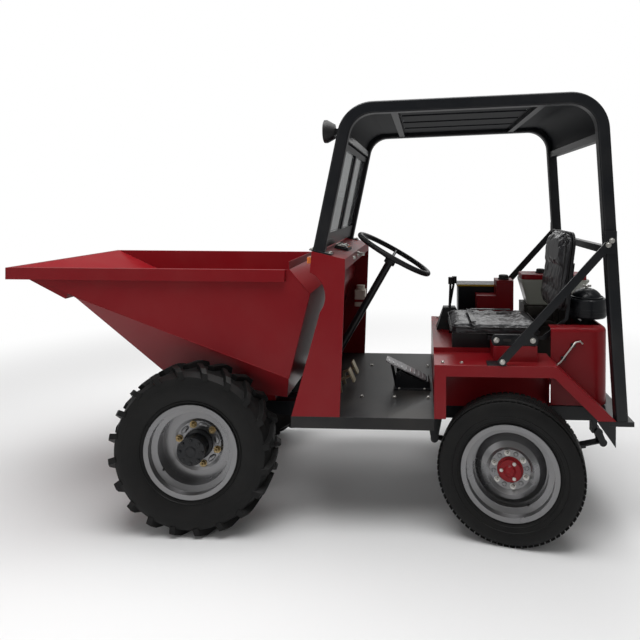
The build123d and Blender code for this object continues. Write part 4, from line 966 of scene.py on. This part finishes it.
@dataclass(frozen=True)
class RearWheel(Wheel):
    """Steered wheel: studs on the domed disc, the red cap's screws, the valve and the tread's blocks."""

    axle: ClassVar[str] = "rear"
    nut_circle: float = 0.076
    nut_start_deg: float = 10.0
    nut: Flat = (0.019, 0.012)
    disc_face: float = 0.0139
    cap_circle: float = 0.039
    cap_face: float = 0.0299
    cap_screw: Flat = (0.012, 0.006)
    block_count: int = 76
    block: Point = (0.0050, 0.0215, 0.0215)
    block_sink: float = 0.0013
    block_bevel: float = 0.001
    shoulder: Flat = (0.3287, 0.0462)
    shoulder_deg: float = 24.5
    tyre_rings: tuple[Flat, ...] = ((0.241, 0.0606), (0.262, 0.0690))

    def build(self) -> None:
        """Dress one rear wheel."""
        nuts = self.around(self.nut_count, self.nut_circle, self.disc_face, self.nut_start_deg)
        self.repeat("rear_nuts", Finishes.BOLT, nuts,
                    [(0.005, 0.010), (0.005, 0.019), (0, 0.020)], 14, self.nut)
        between = self.nut_start_deg + 180 / self.nut_count
        bosses = self.around(self.nut_count, self.nut_circle, self.disc_face, between)
        self.repeat("rear_bosses", Finishes.RIM, bosses,
                    [(0.013, -0.001), (0.011, 0.003), (0.008, 0.0035), (0.006, 0.0008), (0, 0.0006)], 20)
        screws = Shape(f"cap_screws_{self.label}")
        for spot in self.around(3, self.cap_circle, self.cap_face, 90):
            screws.hex_head(spot, *self.cap_screw)
        self.put(screws, Finishes.BOLT)
        self._tread()
        self.valve(0.174, 0.010, 151)
        self.rings(self.tyre_rings)

    def _tread(self) -> None:
        """Set a row of blocks on each shoulder, half a step apart."""
        tread = Shape(f"rear_tread_{self.label}")
        radius, half = self.shoulder
        for s in (-1, 1):
            stagger = 180 / self.block_count if s > 0 else 0.0
            for spot in self.around(self.block_count, radius, s * half, stagger):
                tread.box((-self.block_sink, 0, 0), self.block, spot @ turned(s * self.shoulder_deg, "Y"),
                          self.block_bevel)
        self.put(tread, Finishes.TYRE)


@dataclass(frozen=True)
class Skip(Assembly):
    """Seams, lap plate and end plates of the skip."""

    body: ClassVar[str] = "skip"
    half_width: float = 0.468
    edge: float = 0.001
    weld: float = 0.0022
    crease: tuple[Flat, ...] = ((-1.172, 1.090), (-0.1055, 0.703))
    rear_seam: tuple[Flat, ...] = ((-0.103, 1.231), (-0.0035, 1.117), (-0.1055, 0.703))
    rear_seam_inset: float = 0.0005
    rim_front: float = -1.507
    rim_rear: float = -0.125
    rim_half: float = 0.490
    rim_z: Flat = (1.176, 1.234)
    rim_weld: float = 0.002
    rim_end: Point = (0.003, 0.0225, 0.058)
    rim_end_y: float = 0.479
    rim_lip: Point = (0.055, 0.006, 0.004)
    rim_lip_place: Point = (-0.155, 0.466, 1.1775)
    lap_half: float = 0.455
    lap: tuple[Flat, ...] = ((-1.470, 1.177), (-1.420, 1.175), (-1.227, 1.077), (-1.214, 1.108),
                             (-1.300, 1.148), (-1.440, 1.212))

    def build(self) -> None:
        """Dress the skip."""
        seams, ends = Shape("skip_seams"), Shape("rim_end_plates")
        lip_x, lip_y, lip_z = self.rim_lip_place
        for s in (-1, 1):
            seams.tube([(x, s * self.half_width, z) for x, z in self.crease], self.weld, 8)
            y = s * (self.half_width - self.rear_seam_inset)
            seams.tube([(x, y, z) for x, z in self.rear_seam], self.weld, 8)
            seams.tube([(self.rim_front + 0.004, s * (self.rim_half - 0.001), z) for z in self.rim_z],
                       self.rim_weld, 8)
            middle = (self.rim_rear + 0.001, s * self.rim_end_y, sum(self.rim_z) / 2)
            ends.box(middle, self.rim_end, bevel=self.edge)
            ends.box((lip_x, s * lip_y, lip_z), self.rim_lip, bevel=self.edge)
        self.put(seams, Finishes.RED)
        self.put(Shape("skip_lap_plate").side_plate(self.lap, self.lap_half, 2 * self.lap_half), Finishes.RED)
        self.put(ends, Finishes.RED)


@dataclass(frozen=True)
class Console(Assembly):
    """Dials, warning lamps, key switch and the brackets at the posts' feet."""

    slope_deg: float = 12.83
    face: Point = (0.1126, -0.140, 1.3265)
    dial_radius: float = 0.026
    dial_x: float = -0.008
    dial_y: Flat = (-0.038, 0.038)
    marks_deg: tuple[int, ...] = tuple(range(-120, 121, 30))
    needles_deg: Flat = (70, -40)
    lamp_x: float = 0.030
    lamp_y: tuple[float, ...] = (-0.03, -0.01, 0.01, 0.03)
    key_place: Point = (0.1785, -0.050, 1.272)
    button_place: Point = (0.1785, -0.245, 1.272)
    foot: Point = (0.060, 0.5095, 1.3235)
    foot_plate: Point = (0.108, 0.066, 0.006)
    foot_bolts: Flat = (0.043, 0.022)

    def build(self) -> None:
        """Dress the console."""
        lean = math.radians(self.slope_deg)
        up, down_slope = (math.sin(lean), 0, math.cos(lean)), (math.cos(lean), 0, -math.sin(lean))
        place = axes_at(self.face, up, down_slope)
        self._dials(place)
        lamps = Shape("console_lamps")
        for y in self.lamp_y:
            lamps.lathe([(0.0055, 0), (0.0055, 0.002), (0.003, 0.0045), (0, 0.005)],
                        place @ Matrix.Translation((self.lamp_x, y, 0)), 16)
        self.put(lamps, Finishes.AMBER)
        key, lock = Shape("key_switch"), axes_at(self.key_place, REAR)
        key.lathe([(0.015, -0.002), (0.015, 0.004), (0.011, 0.010), (0, 0.010)], lock, 28)
        key.box((0, 0, 0.024), (0.018, 0.003, 0.028), lock, 0.0008)
        key.lathe([(0.010, -0.002), (0.010, 0.006), (0.007, 0.012), (0, 0.013)],
                  axes_at(self.button_place, REAR), 20)
        self.put(key, Finishes.BOLT)
        feet, (x, half, z), thick = Shape("post_foot_brackets"), self.foot, self.foot_plate[2]
        for s in (-1, 1):
            tilted = Matrix.Translation((x, s * half, z)) @ turned(self.slope_deg, "Y")
            feet.box((0, 0, thick / 2), self.foot_plate, tilted, 0.0015)
        self.put(feet, Finishes.BLACK)
        along, across = self.foot_bolts
        for label, s in SIDES:
            places = [(x + a * down_slope[0], s * half + y, z + thick + a * down_slope[2])
                      for a in (-along, along) for y in (-across, across)]
            self.bolts(f"post_foot_bolts_{label}", places, up, 0.012)

    def _dials(self, place: Matrix) -> None:
        """Make the dials with their marks and needles.

        Args:
            place: the console's face, with x down its slope.
        """
        bezels, faces, hands = Shape("dial_bezels"), Shape("dial_faces"), Shape("dial_hands")
        r = self.dial_radius
        for y, needle_deg in zip(self.dial_y, self.needles_deg):
            spot = place @ Matrix.Translation((self.dial_x, y, 0))
            bezels.lathe([(r + 0.004, 0), (r + 0.004, 0.005), (r + 0.002, 0.007), (r, 0.005), (r, 0.001)],
                         spot, 40)
            faces.lathe([(r, 0.0005), (r, 0.0025), (0, 0.0025)], spot, 40)
            for mark_deg in self.marks_deg:
                hands.box((r * 0.82, 0, 0.003), (0.006, 0.0012, 0.0008), spot @ turned(mark_deg), 0.0002)
            hands.box((r * 0.36, 0, 0.0036), (r * 0.72, 0.0016, 0.0008), spot @ turned(needle_deg), 0.0003)
            hands.lathe([(0.003, 0.0025), (0.003, 0.0045), (0, 0.005)], spot, 14)
        self.put(bezels, Finishes.BOLT)
        self.put(faces, Finishes.DIAL)
        self.put(hands, Finishes.DARK)


@dataclass(frozen=True)
class PedalUnit(Assembly):
    """Foot throttle on the deck: a ribbed plate on its bracket, with its pins and return spring."""

    heel: Point = (0.560, -0.100, 0.598)
    toe: Point = (0.345, -0.100, 0.700)
    width: float = 0.105
    thick: float = 0.006
    corner: float = 0.016
    rib: Flat = (0.006, 0.004)
    rib_reach: float = 0.84
    rib_count: int = 9
    rib_span: float = 0.86
    deck: float = 0.552
    cheeks_y: Flat = (-0.142, -0.062)
    cheek_thick: float = 0.005
    base: Point = (0.205, 0.125, 0.006)
    base_place: Flat = (0.49, -0.1045)
    pins: tuple[tuple[float, float, float, int], ...] = ((0.572, 0.590, 0.009, 16), (0.420, 0.628, 0.007, 14))
    pins_y: Flat = (-0.155, -0.050)
    link: tuple[Flat, ...] = ((0.375, 0.680), (0.392, 0.600), (0.40, 0.558))
    link_radius: float = 0.008
    middle_y: float = -0.104
    bolts_x: Flat = (0.42, 0.555)
    bolts_y: Flat = (-0.160, -0.048)
    spring_foot: Flat = (0.470, 0.560)
    spring_wire: float = 0.0018
    spring_radius: float = 0.016
    spring_steps: int = 12
    spring_turns: int = 8
    spring_pitch: float = 0.006

    def build(self) -> None:
        """Build the unit."""
        self._plate()
        base, floor = Shape("throttle_bracket"), self.deck + 0.001
        cheek = [(0.40, floor), (0.585, floor), (0.585, 0.585), (0.47, 0.625), (0.425, 0.648), (0.40, 0.640)]
        for y in self.cheeks_y:
            base.side_plate(cheek, y, self.cheek_thick)
        base.box((*self.base_place, self.deck + 0.0032), self.base, bevel=0.001)
        for x, z, radius, sides in self.pins:
            base.tube([(x, y, z) for y in self.pins_y], radius, sides)
        base.tube([(x, self.middle_y, z) for x, z in self.link], self.link_radius)
        self.put(base, Finishes.BLACK)
        (x, z), r, path = self.spring_foot, self.spring_radius, []
        for step in range(self.spring_steps * self.spring_turns + 1):
            turn = step / self.spring_steps
            angle = 2 * math.pi * turn
            path.append((x + r * math.cos(angle), self.middle_y + r * math.sin(angle),
                         z + self.spring_pitch * turn))
        self.put(Shape("throttle_spring").tube(path, self.spring_wire, 6), Finishes.BOLT)
        places = [(x, y, self.deck + 0.0062) for x in self.bolts_x for y in self.bolts_y]
        self.bolts("throttle_bolts", places, UP, 0.010)

    def _plate(self) -> None:
        """Make the foot plate with its ribs."""
        heel, toe = Vector(self.heel), Vector(self.toe)
        length, along = (toe - heel).length, (toe - heel).normalized()
        place = axes_at((heel + toe) / 2, along.cross(Vector(LEFT)), along)
        plate = Shape("throttle_plate").prism(rounded(length, self.width, self.corner), place, self.thick)
        rib = (self.rib[0], self.width * self.rib_reach, self.rib[1])
        for i in range(self.rib_count):
            x = length * (i / (self.rib_count - 1) - 0.5) * self.rib_span
            plate.box((x, 0, self.thick + 0.0015), rib, place, 0.0012)
        self.put(plate, Finishes.WRAP)


@dataclass(frozen=True)
class Pad(Assembly):
    """A padded part of the seat: a blown-up cloth cover under film, with piping and sewn channels.

    Its own x runs along its length, y across it and z out of its face; its back is flat.
    """

    name: str = "seat_cushion"
    length: float = 0.46
    width: float = 0.42
    thick: float = 0.058
    corner: float = 0.06
    place: Matrix = Matrix()
    channels: tuple[float, ...] = (-0.11, 0.0, 0.11)
    channel_end: float = 0.05
    channel_width: float = 0.7
    channel_depth: float = 0.004
    blank_inset: float = 0.007
    blank_foot: float = 0.002
    blank_height: float = 0.72
    back: float = 0.006
    room: Flat = (0.0006, 0.004)
    voxel: float = 0.0065
    pressure: float = 4.0
    quality: int = 5
    frames: int = 20
    swell: float = 0.024
    film_lift: float = 0.0035
    film_crease: float = 0.011
    film_scale: Flat = (17.0, 2.3)
    film_shift: float = 40.0
    piping: float = 0.0032
    piping_inset: float = 0.006
    piping_low: float = 0.006
    piping_high: float = 0.60

    def build(self) -> None:
        """Build the pad and its piping."""
        piece = place_in_scene(f"{self.name}_cover", self._blank())
        self._blow(piece)
        self._bound(piece)
        self._apply(piece, piece.modifiers.new("smooth", "SUBSURF"))
        for polygon in piece.data.polygons:
            polygon.use_smooth = True
        piece.data.transform(self.place)
        self.register(piece, Finishes.SEAT, self.body)
        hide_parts(self.name)
        piping = Shape(f"{self.name}_piping")
        edge = rounded(self.length - self.piping_inset, self.width - self.piping_inset, self.corner, 10)
        for height in (self.piping_low, self.thick * self.piping_high):
            path = [tuple(self.place @ Vector((x, y, height))) for x, y in edge]
            piping.tube(path, self.piping, 8, closed=True)
        self.put(piping, Finishes.PLASTIC)

    def _blank(self) -> bpy.types.Mesh:
        """Make the closed cover before it is blown up.

        Returns:
            Its mesh, remeshed to even faces.
        """
        inset = 2 * self.blank_inset
        rim = rounded(self.length - inset, self.width - inset, self.corner - self.blank_inset, 8)
        shape = Shape(f"{self.name}_blank")
        shape.prism(rim, Matrix.Translation((0, 0, self.blank_foot)), self.thick * self.blank_height)
        holder = place_in_scene("blank", shape.close())
        remesh = holder.modifiers.new("even", "REMESH")
        remesh.mode = "VOXEL"
        remesh.voxel_size = self.voxel
        self._apply(holder, remesh)
        bpy.context.scene.collection.objects.unlink(holder)
        return holder.data

    @staticmethod
    def _apply(piece: bpy.types.Object, modifier: bpy.types.Modifier) -> None:
        """Make a modifier's result the object's own mesh.

        Args:
            piece: the object.
            modifier: its only modifier.
        """
        bpy.context.view_layer.update()
        shown = piece.evaluated_get(bpy.context.evaluated_depsgraph_get())
        mesh = bpy.data.meshes.new_from_object(shown)
        piece.modifiers.remove(modifier)
        piece.data = mesh

    def _blow(self, piece: bpy.types.Object) -> None:
        """Blow the cover up, held along its back and its sewn channels.

        Args:
            piece: the cover.
        """
        start = [vertex.co.copy() for vertex in piece.data.vertices]
        top = max(point.z for point in start) - self.channel_depth
        reach, end = self.voxel * self.channel_width, self.width / 2 - self.channel_end
        held = piece.vertex_groups.new(name="held")
        held.add([i for i, point in enumerate(start) if point.z < self.back or (
            point.z > top and abs(point.y) < end and any(abs(point.x - x) < reach for x in self.channels)
        )], 1.0, "REPLACE")
        cloth = piece.modifiers.new("cover", "CLOTH")
        cloth.settings.vertex_group_mass = held.name
        cloth.settings.use_pressure = True
        cloth.settings.uniform_pressure_force = self.pressure
        cloth.settings.effector_weights.gravity = 0.0
        cloth.settings.quality = self.quality
        for number in range(1, self.frames + 1):
            bpy.context.scene.frame_set(number)
        self._apply(piece, cloth)
        bpy.context.scene.frame_set(1)
        for vertex, origin in zip(piece.data.vertices, start):
            move = vertex.co - origin
            if move.length > self.swell:
                vertex.co = origin + move * (self.swell / move.length)

    def _bound(self, piece: bpy.types.Object) -> None:
        """Crease the film a little and keep the cover inside the space that the pad has.

        Args:
            piece: the cover.
        """
        piece.data.update()
        coarse, fine = self.film_scale
        low = Vector((-self.length / 2, -self.width / 2, self.room[0]))
        high = Vector((self.length / 2, self.width / 2, self.thick + self.room[1]))
        for vertex in piece.data.vertices:
            if vertex.co.z > self.back:
                spot = vertex.co * coarse + Vector((self.length * self.film_shift, 0, 0))
                crease = abs(noise.noise(spot)) + 0.5 * abs(noise.noise(spot * fine))
                vertex.co += vertex.normal * (self.film_lift - self.film_crease * crease)
            vertex.co = [min(max(value, least), most) for value, least, most in zip(vertex.co, low, high)]


@dataclass(frozen=True)
class Seat(Assembly):
    """The seat's two pads, the back's shell and the loose fittings beside them."""

    y: float = -0.140
    cushion: Point = (0.456, 0.416, 0.058)
    cushion_corner: float = 0.055
    cushion_place: Flat = (0.914, 0.9006)
    lean_deg: float = 7.0
    back_foot: Flat = (1.200, 1.016)
    back_height: float = 0.410
    back_width: float = 0.396
    back_thick: float = 0.066
    back_corner: float = 0.080
    shell: float = 0.014
    shell_ribs: tuple[float, ...] = (-0.12, 0.0, 0.12)
    bar: tuple[Flat, ...] = ((0.80, -0.335), (0.80, -0.02), (1.02, -0.02))
    bar_width: float = 0.026
    bar_z: float = 0.9655
    plate_place: Point = (0.985, -0.4565, 0.9035)
    plate: Point = (0.054, 0.222, 0.006)
    plate_corner: float = 0.024
    plate_slot: Point = (0.012, 0.040, 0.0058)
    plate_slots: Flat = (-0.020, 0.035)
    plate_bolts_x: Flat = (0.898, 1.072)

    def build(self) -> None:
        """Build the seat."""
        x, z = self.cushion_place
        self._pad(Pad(self.finishes, "seat_cushion", *self.cushion, self.cushion_corner,
                      Matrix.Translation((x, self.y, z))))
        lean = math.radians(self.lean_deg)
        up, back = Vector((math.sin(lean), 0, math.cos(lean))), Vector((math.cos(lean), 0, -math.sin(lean)))
        foot = Vector((self.back_foot[0], self.y, self.back_foot[1]))
        rear = foot + up * (self.back_height / 2) + back * self.back_thick
        self._pad(Pad(self.finishes, "seat_back", self.back_height - 0.006, self.back_width - 0.004,
                      self.back_thick - self.shell, self.back_corner - 0.005,
                      axes_at(rear - back * self.shell, -back, up), (-0.10, 0.02)))
        shell, place = Shape("seat_back_shell"), axes_at(rear, -back, up)
        outline = rounded(self.back_height - 0.004, self.back_width, self.back_corner, 8)
        shell.prism(outline, place, self.shell)
        for x in self.shell_ribs:
            shell.box((x, 0, 0.001), (0.012, 0.300, 0.004), place, 0.001)
        self.put(shell, Finishes.PLASTIC)
        self._bar()
        self._side_plate()

    def _pad(self, pad: Pad) -> None:
        """Build a pad and count its pieces in."""
        pad.build()
        self.pieces.extend(pad.pieces)

    def _bar(self) -> None:
        """Lay the flat bar bent to a U across the cushion."""
        bar = Shape("seat_bar")
        for (x0, y0), (x1, y1) in zip(self.bar, self.bar[1:]):
            bar.box(((x0 + x1) / 2, (y0 + y1) / 2, self.bar_z),
                    (abs(x1 - x0) + self.bar_width, abs(y1 - y0) + self.bar_width, 0.005), bevel=0.0015)
        self.put(bar, Finishes.BLACK)

    def _side_plate(self) -> None:
        """Add the slotted plate outside the seat with its washered bolts; the slots are thin dark sheets on its
        face, painted shade.
        """
        plate, slot_shade = Shape("seat_side_plate"), Shape("seat_side_slot_shade")
        place, (height, length, thick) = axes_at(self.plate_place, LEFT), self.plate
        plate.prism(rounded(height, length, self.plate_corner), place, thick)
        plate.box((-0.0255, 0, -0.012), (0.006, 0.20, 0.030), place, 0.001)
        self.put(plate, Finishes.BLACK)
        # The slots are not cut through: a thin dark sheet on the plate's face is painted shade where each slot
        # would be.
        for along in self.plate_slots:
            spot = place @ Matrix.Translation((0, along, thick - 0.0002))
            slot_shade.prism(rounded(*self.plate_slot), spot, 0.0008)
        self.put(slot_shade, Finishes.DARK)
        _, y, z = self.plate_place
        self.bolts("seat_side_bolts", [(x, y - thick, z) for x in self.plate_bolts_x], LEFT, 0.019)


@dataclass(frozen=True)
class Bodywork(Assembly):
    """Fasteners and edges of the fenders, braces, deck, hood and boxes."""

    brace_y: float = 0.5483
    brace_bolts: tuple[Flat, ...] = ((1.398, 1.371), (1.414, 1.391), (0.915, 0.824))
    brace_bolt: float = 0.018
    deck_bolt: float = 0.014
    fender_bolt: float = 0.013
    fender_edge_y: float = 0.5425
    fender_front: Flat = (0.602, 0.8015)
    fender_bend: Flat = (1.168, 0.8015)
    fender_rear: Flat = (1.4345, 0.556)
    fender_roll: Flat = (0.0035, 0.0028)
    fender_bolts_x: Flat = (0.64, 0.73)
    fender_bolts_yz: Flat = (0.50, 0.803)
    deck_bolts_x: tuple[float, ...] = (0.23, 0.40, 0.575)
    deck_bolts_yz: Flat = (0.27, 0.552)
    flange: Point = (0.003, 0.066, 0.244)
    flange_place: Point = (1.1695, 0.346, 0.679)
    strip: Point = (0.272, 0.003, 0.010)
    strip_place: Point = (0.893, 0.3205, 1.046)
    tank_cap: Point = (1.034, 0.2475, 1.098)
    band: Point = (0.0725, 0.0925, 0.016)
    band_corner: float = 0.0135
    band_place: Point = (0.134, 0.470, 0.915)
    catch_y: float = 0.387
    catch: tuple[Flat, ...] = ((1.204, 0.766), (1.221, 0.779), (1.258, 0.830), (1.294, 0.879), (1.318, 0.884),
                               (1.330, 0.872))
    clips: tuple[Flat, ...] = ((1.236, 0.799), (1.283, 0.864))
    clip_y: float = 0.3845
    clip: Point = (0.022, 0.011, 0.018)

    def build(self) -> None:
        """Dress the body."""
        for label, s in SIDES:
            self._fender(label, s)
            self._catch(label, s)
        strip = Shape("battery_strip").box(self.strip_place, self.strip, bevel=0.0008)
        self.put(strip, Finishes.YELLOW)
        cap = [(0.034, 0), (0.034, 0.006), (0.029, 0.008), (0.029, 0.022), (0.025, 0.026), (0, 0.026)]
        self.put(Shape("oil_tank_cap").lathe(cap, axes_at(self.tank_cap, UP), 36), Finishes.DARK)
        length, width, height = self.band
        band = Shape("reservoir_band")
        band.prism(rounded(length, width, self.band_corner), Matrix.Translation(self.band_place), height)
        self.put(band, Finishes.RED)

    def _fender(self, label: str, s: int) -> None:
        """Add one fender's edges, flange and bolts, and those of the deck beside it.

        Args:
            label: the side's name.
            s: the side's sign.
        """
        braces = [(x, s * self.brace_y, z) for x, z in self.brace_bolts]
        self.bolts(f"brace_bolts_{label}", braces, (0, s, 0), self.brace_bolt)
        edge, y = Shape(f"fender_edge_{label}"), s * self.fender_edge_y
        edge.tube([(x, y, z) for x, z in (self.fender_bend, self.fender_rear)], self.fender_roll[0], 10)
        edge.tube([(x, y, z) for x, z in (self.fender_front, self.fender_bend)], self.fender_roll[1], 10)
        self.put(edge, Finishes.RED)
        y, z = self.deck_bolts_yz
        self.bolts(f"deck_bolts_{label}", [(x, s * y, z) for x in self.deck_bolts_x], UP, self.deck_bolt)
        y, z = self.fender_bolts_yz
        places = [(x, s * y, z) for x in self.fender_bolts_x]
        self.bolts(f"fender_bolts_{label}", places, UP, self.fender_bolt)
        x, y, z = self.flange_place
        self.put(Shape(f"fender_flange_{label}").box((x, s * y, z), self.flange, bevel=0.001), Finishes.RED)

    def _catch(self, label: str, s: int) -> None:
        """Add the hood's catch: a bent rod from its pivot to a finger loop, on two clips.

        Args:
            label: the side's name.
            s: the side's sign.
        """
        rod = Shape(f"hood_catch_{label}").tube([(x, s * self.catch_y, z) for x, z in self.catch], 0.0045, 10)
        self.put(rod, Finishes.BOLT, "rear_hood")
        clip = Shape(f"hood_catch_clips_{label}")
        for x, z in self.clips:
            clip.box((x, s * self.clip_y, z), self.clip, bevel=0.002)
        self.put(clip, Finishes.BLACK, "rear_hood")


@dataclass(frozen=True)
class Engine(Assembly):
    """The engine's outside: ribs, flywheel rings, tank cap, and the air cleaner's bands and nut."""

    side_y: float = 0.130
    front: float = 1.137
    rib_count: int = 7
    rib_pitch: float = 0.035
    rib: Point = (0.008, 0.012, 0.120)
    rib_z: float = 0.885
    cover: Point = (0.095, 0.026, 0.055)
    cover_place: Point = (1.20, 0.118, 0.930)
    plug: Point = (1.345, 0.130, 0.800)
    tank_cap: Point = (1.250, 0.215, 1.1425)
    flywheel: Point = (1.252, 0.070, 0.730)
    flywheel_rings: tuple[float, ...] = (0.060, 0.118, 0.143)
    cleaner: Point = (1.403, -0.200, 0.971)

    def build(self) -> None:
        """Dress the engine."""
        ribs = Shape("engine_ribs")
        for i in range(self.rib_count):
            x = self.front + 0.03 + i * self.rib_pitch
            ribs.box((x, self.side_y - 0.004, self.rib_z), self.rib, bevel=0.002)
        ribs.box(self.cover_place, self.cover, bevel=0.006)
        ribs.lathe([(0.030, 0), (0.030, 0.02), (0.022, 0.026), (0.022, 0.040), (0, 0.040)],
                   axes_at(self.plug, LEFT), 28)
        self.put(ribs, Finishes.ENGINE)
        rings = Shape("flywheel_rings")
        for r in self.flywheel_rings:
            rings.lathe([(r - 0.006, -0.001), (r - 0.005, 0.004), (r + 0.005, 0.004), (r + 0.006, -0.001)],
                        axes_at(self.flywheel, LEFT), 64)
        self.put(rings, Finishes.ENGINE)
        cap = [(0.030, 0), (0.030, 0.006), (0.025, 0.009), (0.025, 0.020), (0.020, 0.024), (0, 0.024)]
        self.put(Shape("tank_cap").lathe(cap, axes_at(self.tank_cap, UP), 32), Finishes.DARK)
        band, nut, place = Shape("cleaner_band"), Shape("cleaner_wing_nut"), axes_at(self.cleaner, UP)
        band.lathe([(0.0975, 0.030), (0.0998, 0.031), (0.0998, 0.047), (0.0975, 0.048)], place, 64)
        band.lathe([(0.0795, 0.0985), (0.083, 0.099), (0.083, 0.106), (0.0775, 0.107)], place, 64)
        band.box((-0.104, 0, 0.039), (0.014, 0.022, 0.014), place, 0.002)
        self.put(band, Finishes.BLACK)
        nut.lathe([(0.010, 0.147), (0.010, 0.149), (0.007, 0.151), (0.007, 0.160), (0, 0.161)], place, 20)
        for s in (-1, 1):
            nut.box((s * 0.014, 0, 0.158), (0.020, 0.004, 0.013), place, 0.0015)
        self.put(nut, Finishes.BOLT)


@dataclass(frozen=True)
class Cab(Assembly):
    """The work lamps' lenses and bezels."""

    lens_radius: float = 0.047
    lamp_y: float = 0.495
    lamp_z: float = 1.900

    def build(self) -> None:
        """Dress the work lamps."""
        low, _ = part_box("work_lamps")
        lens, bezel = Shape("lamp_lenses"), Shape("lamp_bezels")
        r = self.lens_radius
        for s in (-1, 1):
            place = axes_at((low.x, s * self.lamp_y, self.lamp_z), (-1, 0, 0))
            bezel.lathe([(0.0545, -0.006), (0.0545, 0.003), (r + 0.003, 0.0055), (r, 0.002)], place, 48)
            lens.lathe([(r, 0.0005), (r * 0.85, 0.004), (r * 0.5, 0.0065), (0, 0.0075)], place, 48)
        self.put(lens, Finishes.LENS)
        self.put(bezel, Finishes.BLACK)


def main() -> None:
    """Set the stage, dress the machine and report each piece."""
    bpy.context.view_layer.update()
    finishes = Finishes(Effects())
    Stage().build(finishes)
    finishes.dress_nodes()
    assemblies = [wheel(finishes, label, side) for label, side in SIDES for wheel in (FrontWheel, RearWheel)]
    assemblies += [kind(finishes) for kind in (Skip, Console, PedalUnit, Seat, Bodywork, Engine, Cab)]
    for assembly in assemblies:
        assembly.build()
        for piece in assembly.pieces:
            log.info("%s: %s, %d faces", type(assembly).__name__, piece.name, len(piece.data.polygons))


if __name__ == "__main__":
    logging.basicConfig(level=logging.INFO)
    main()
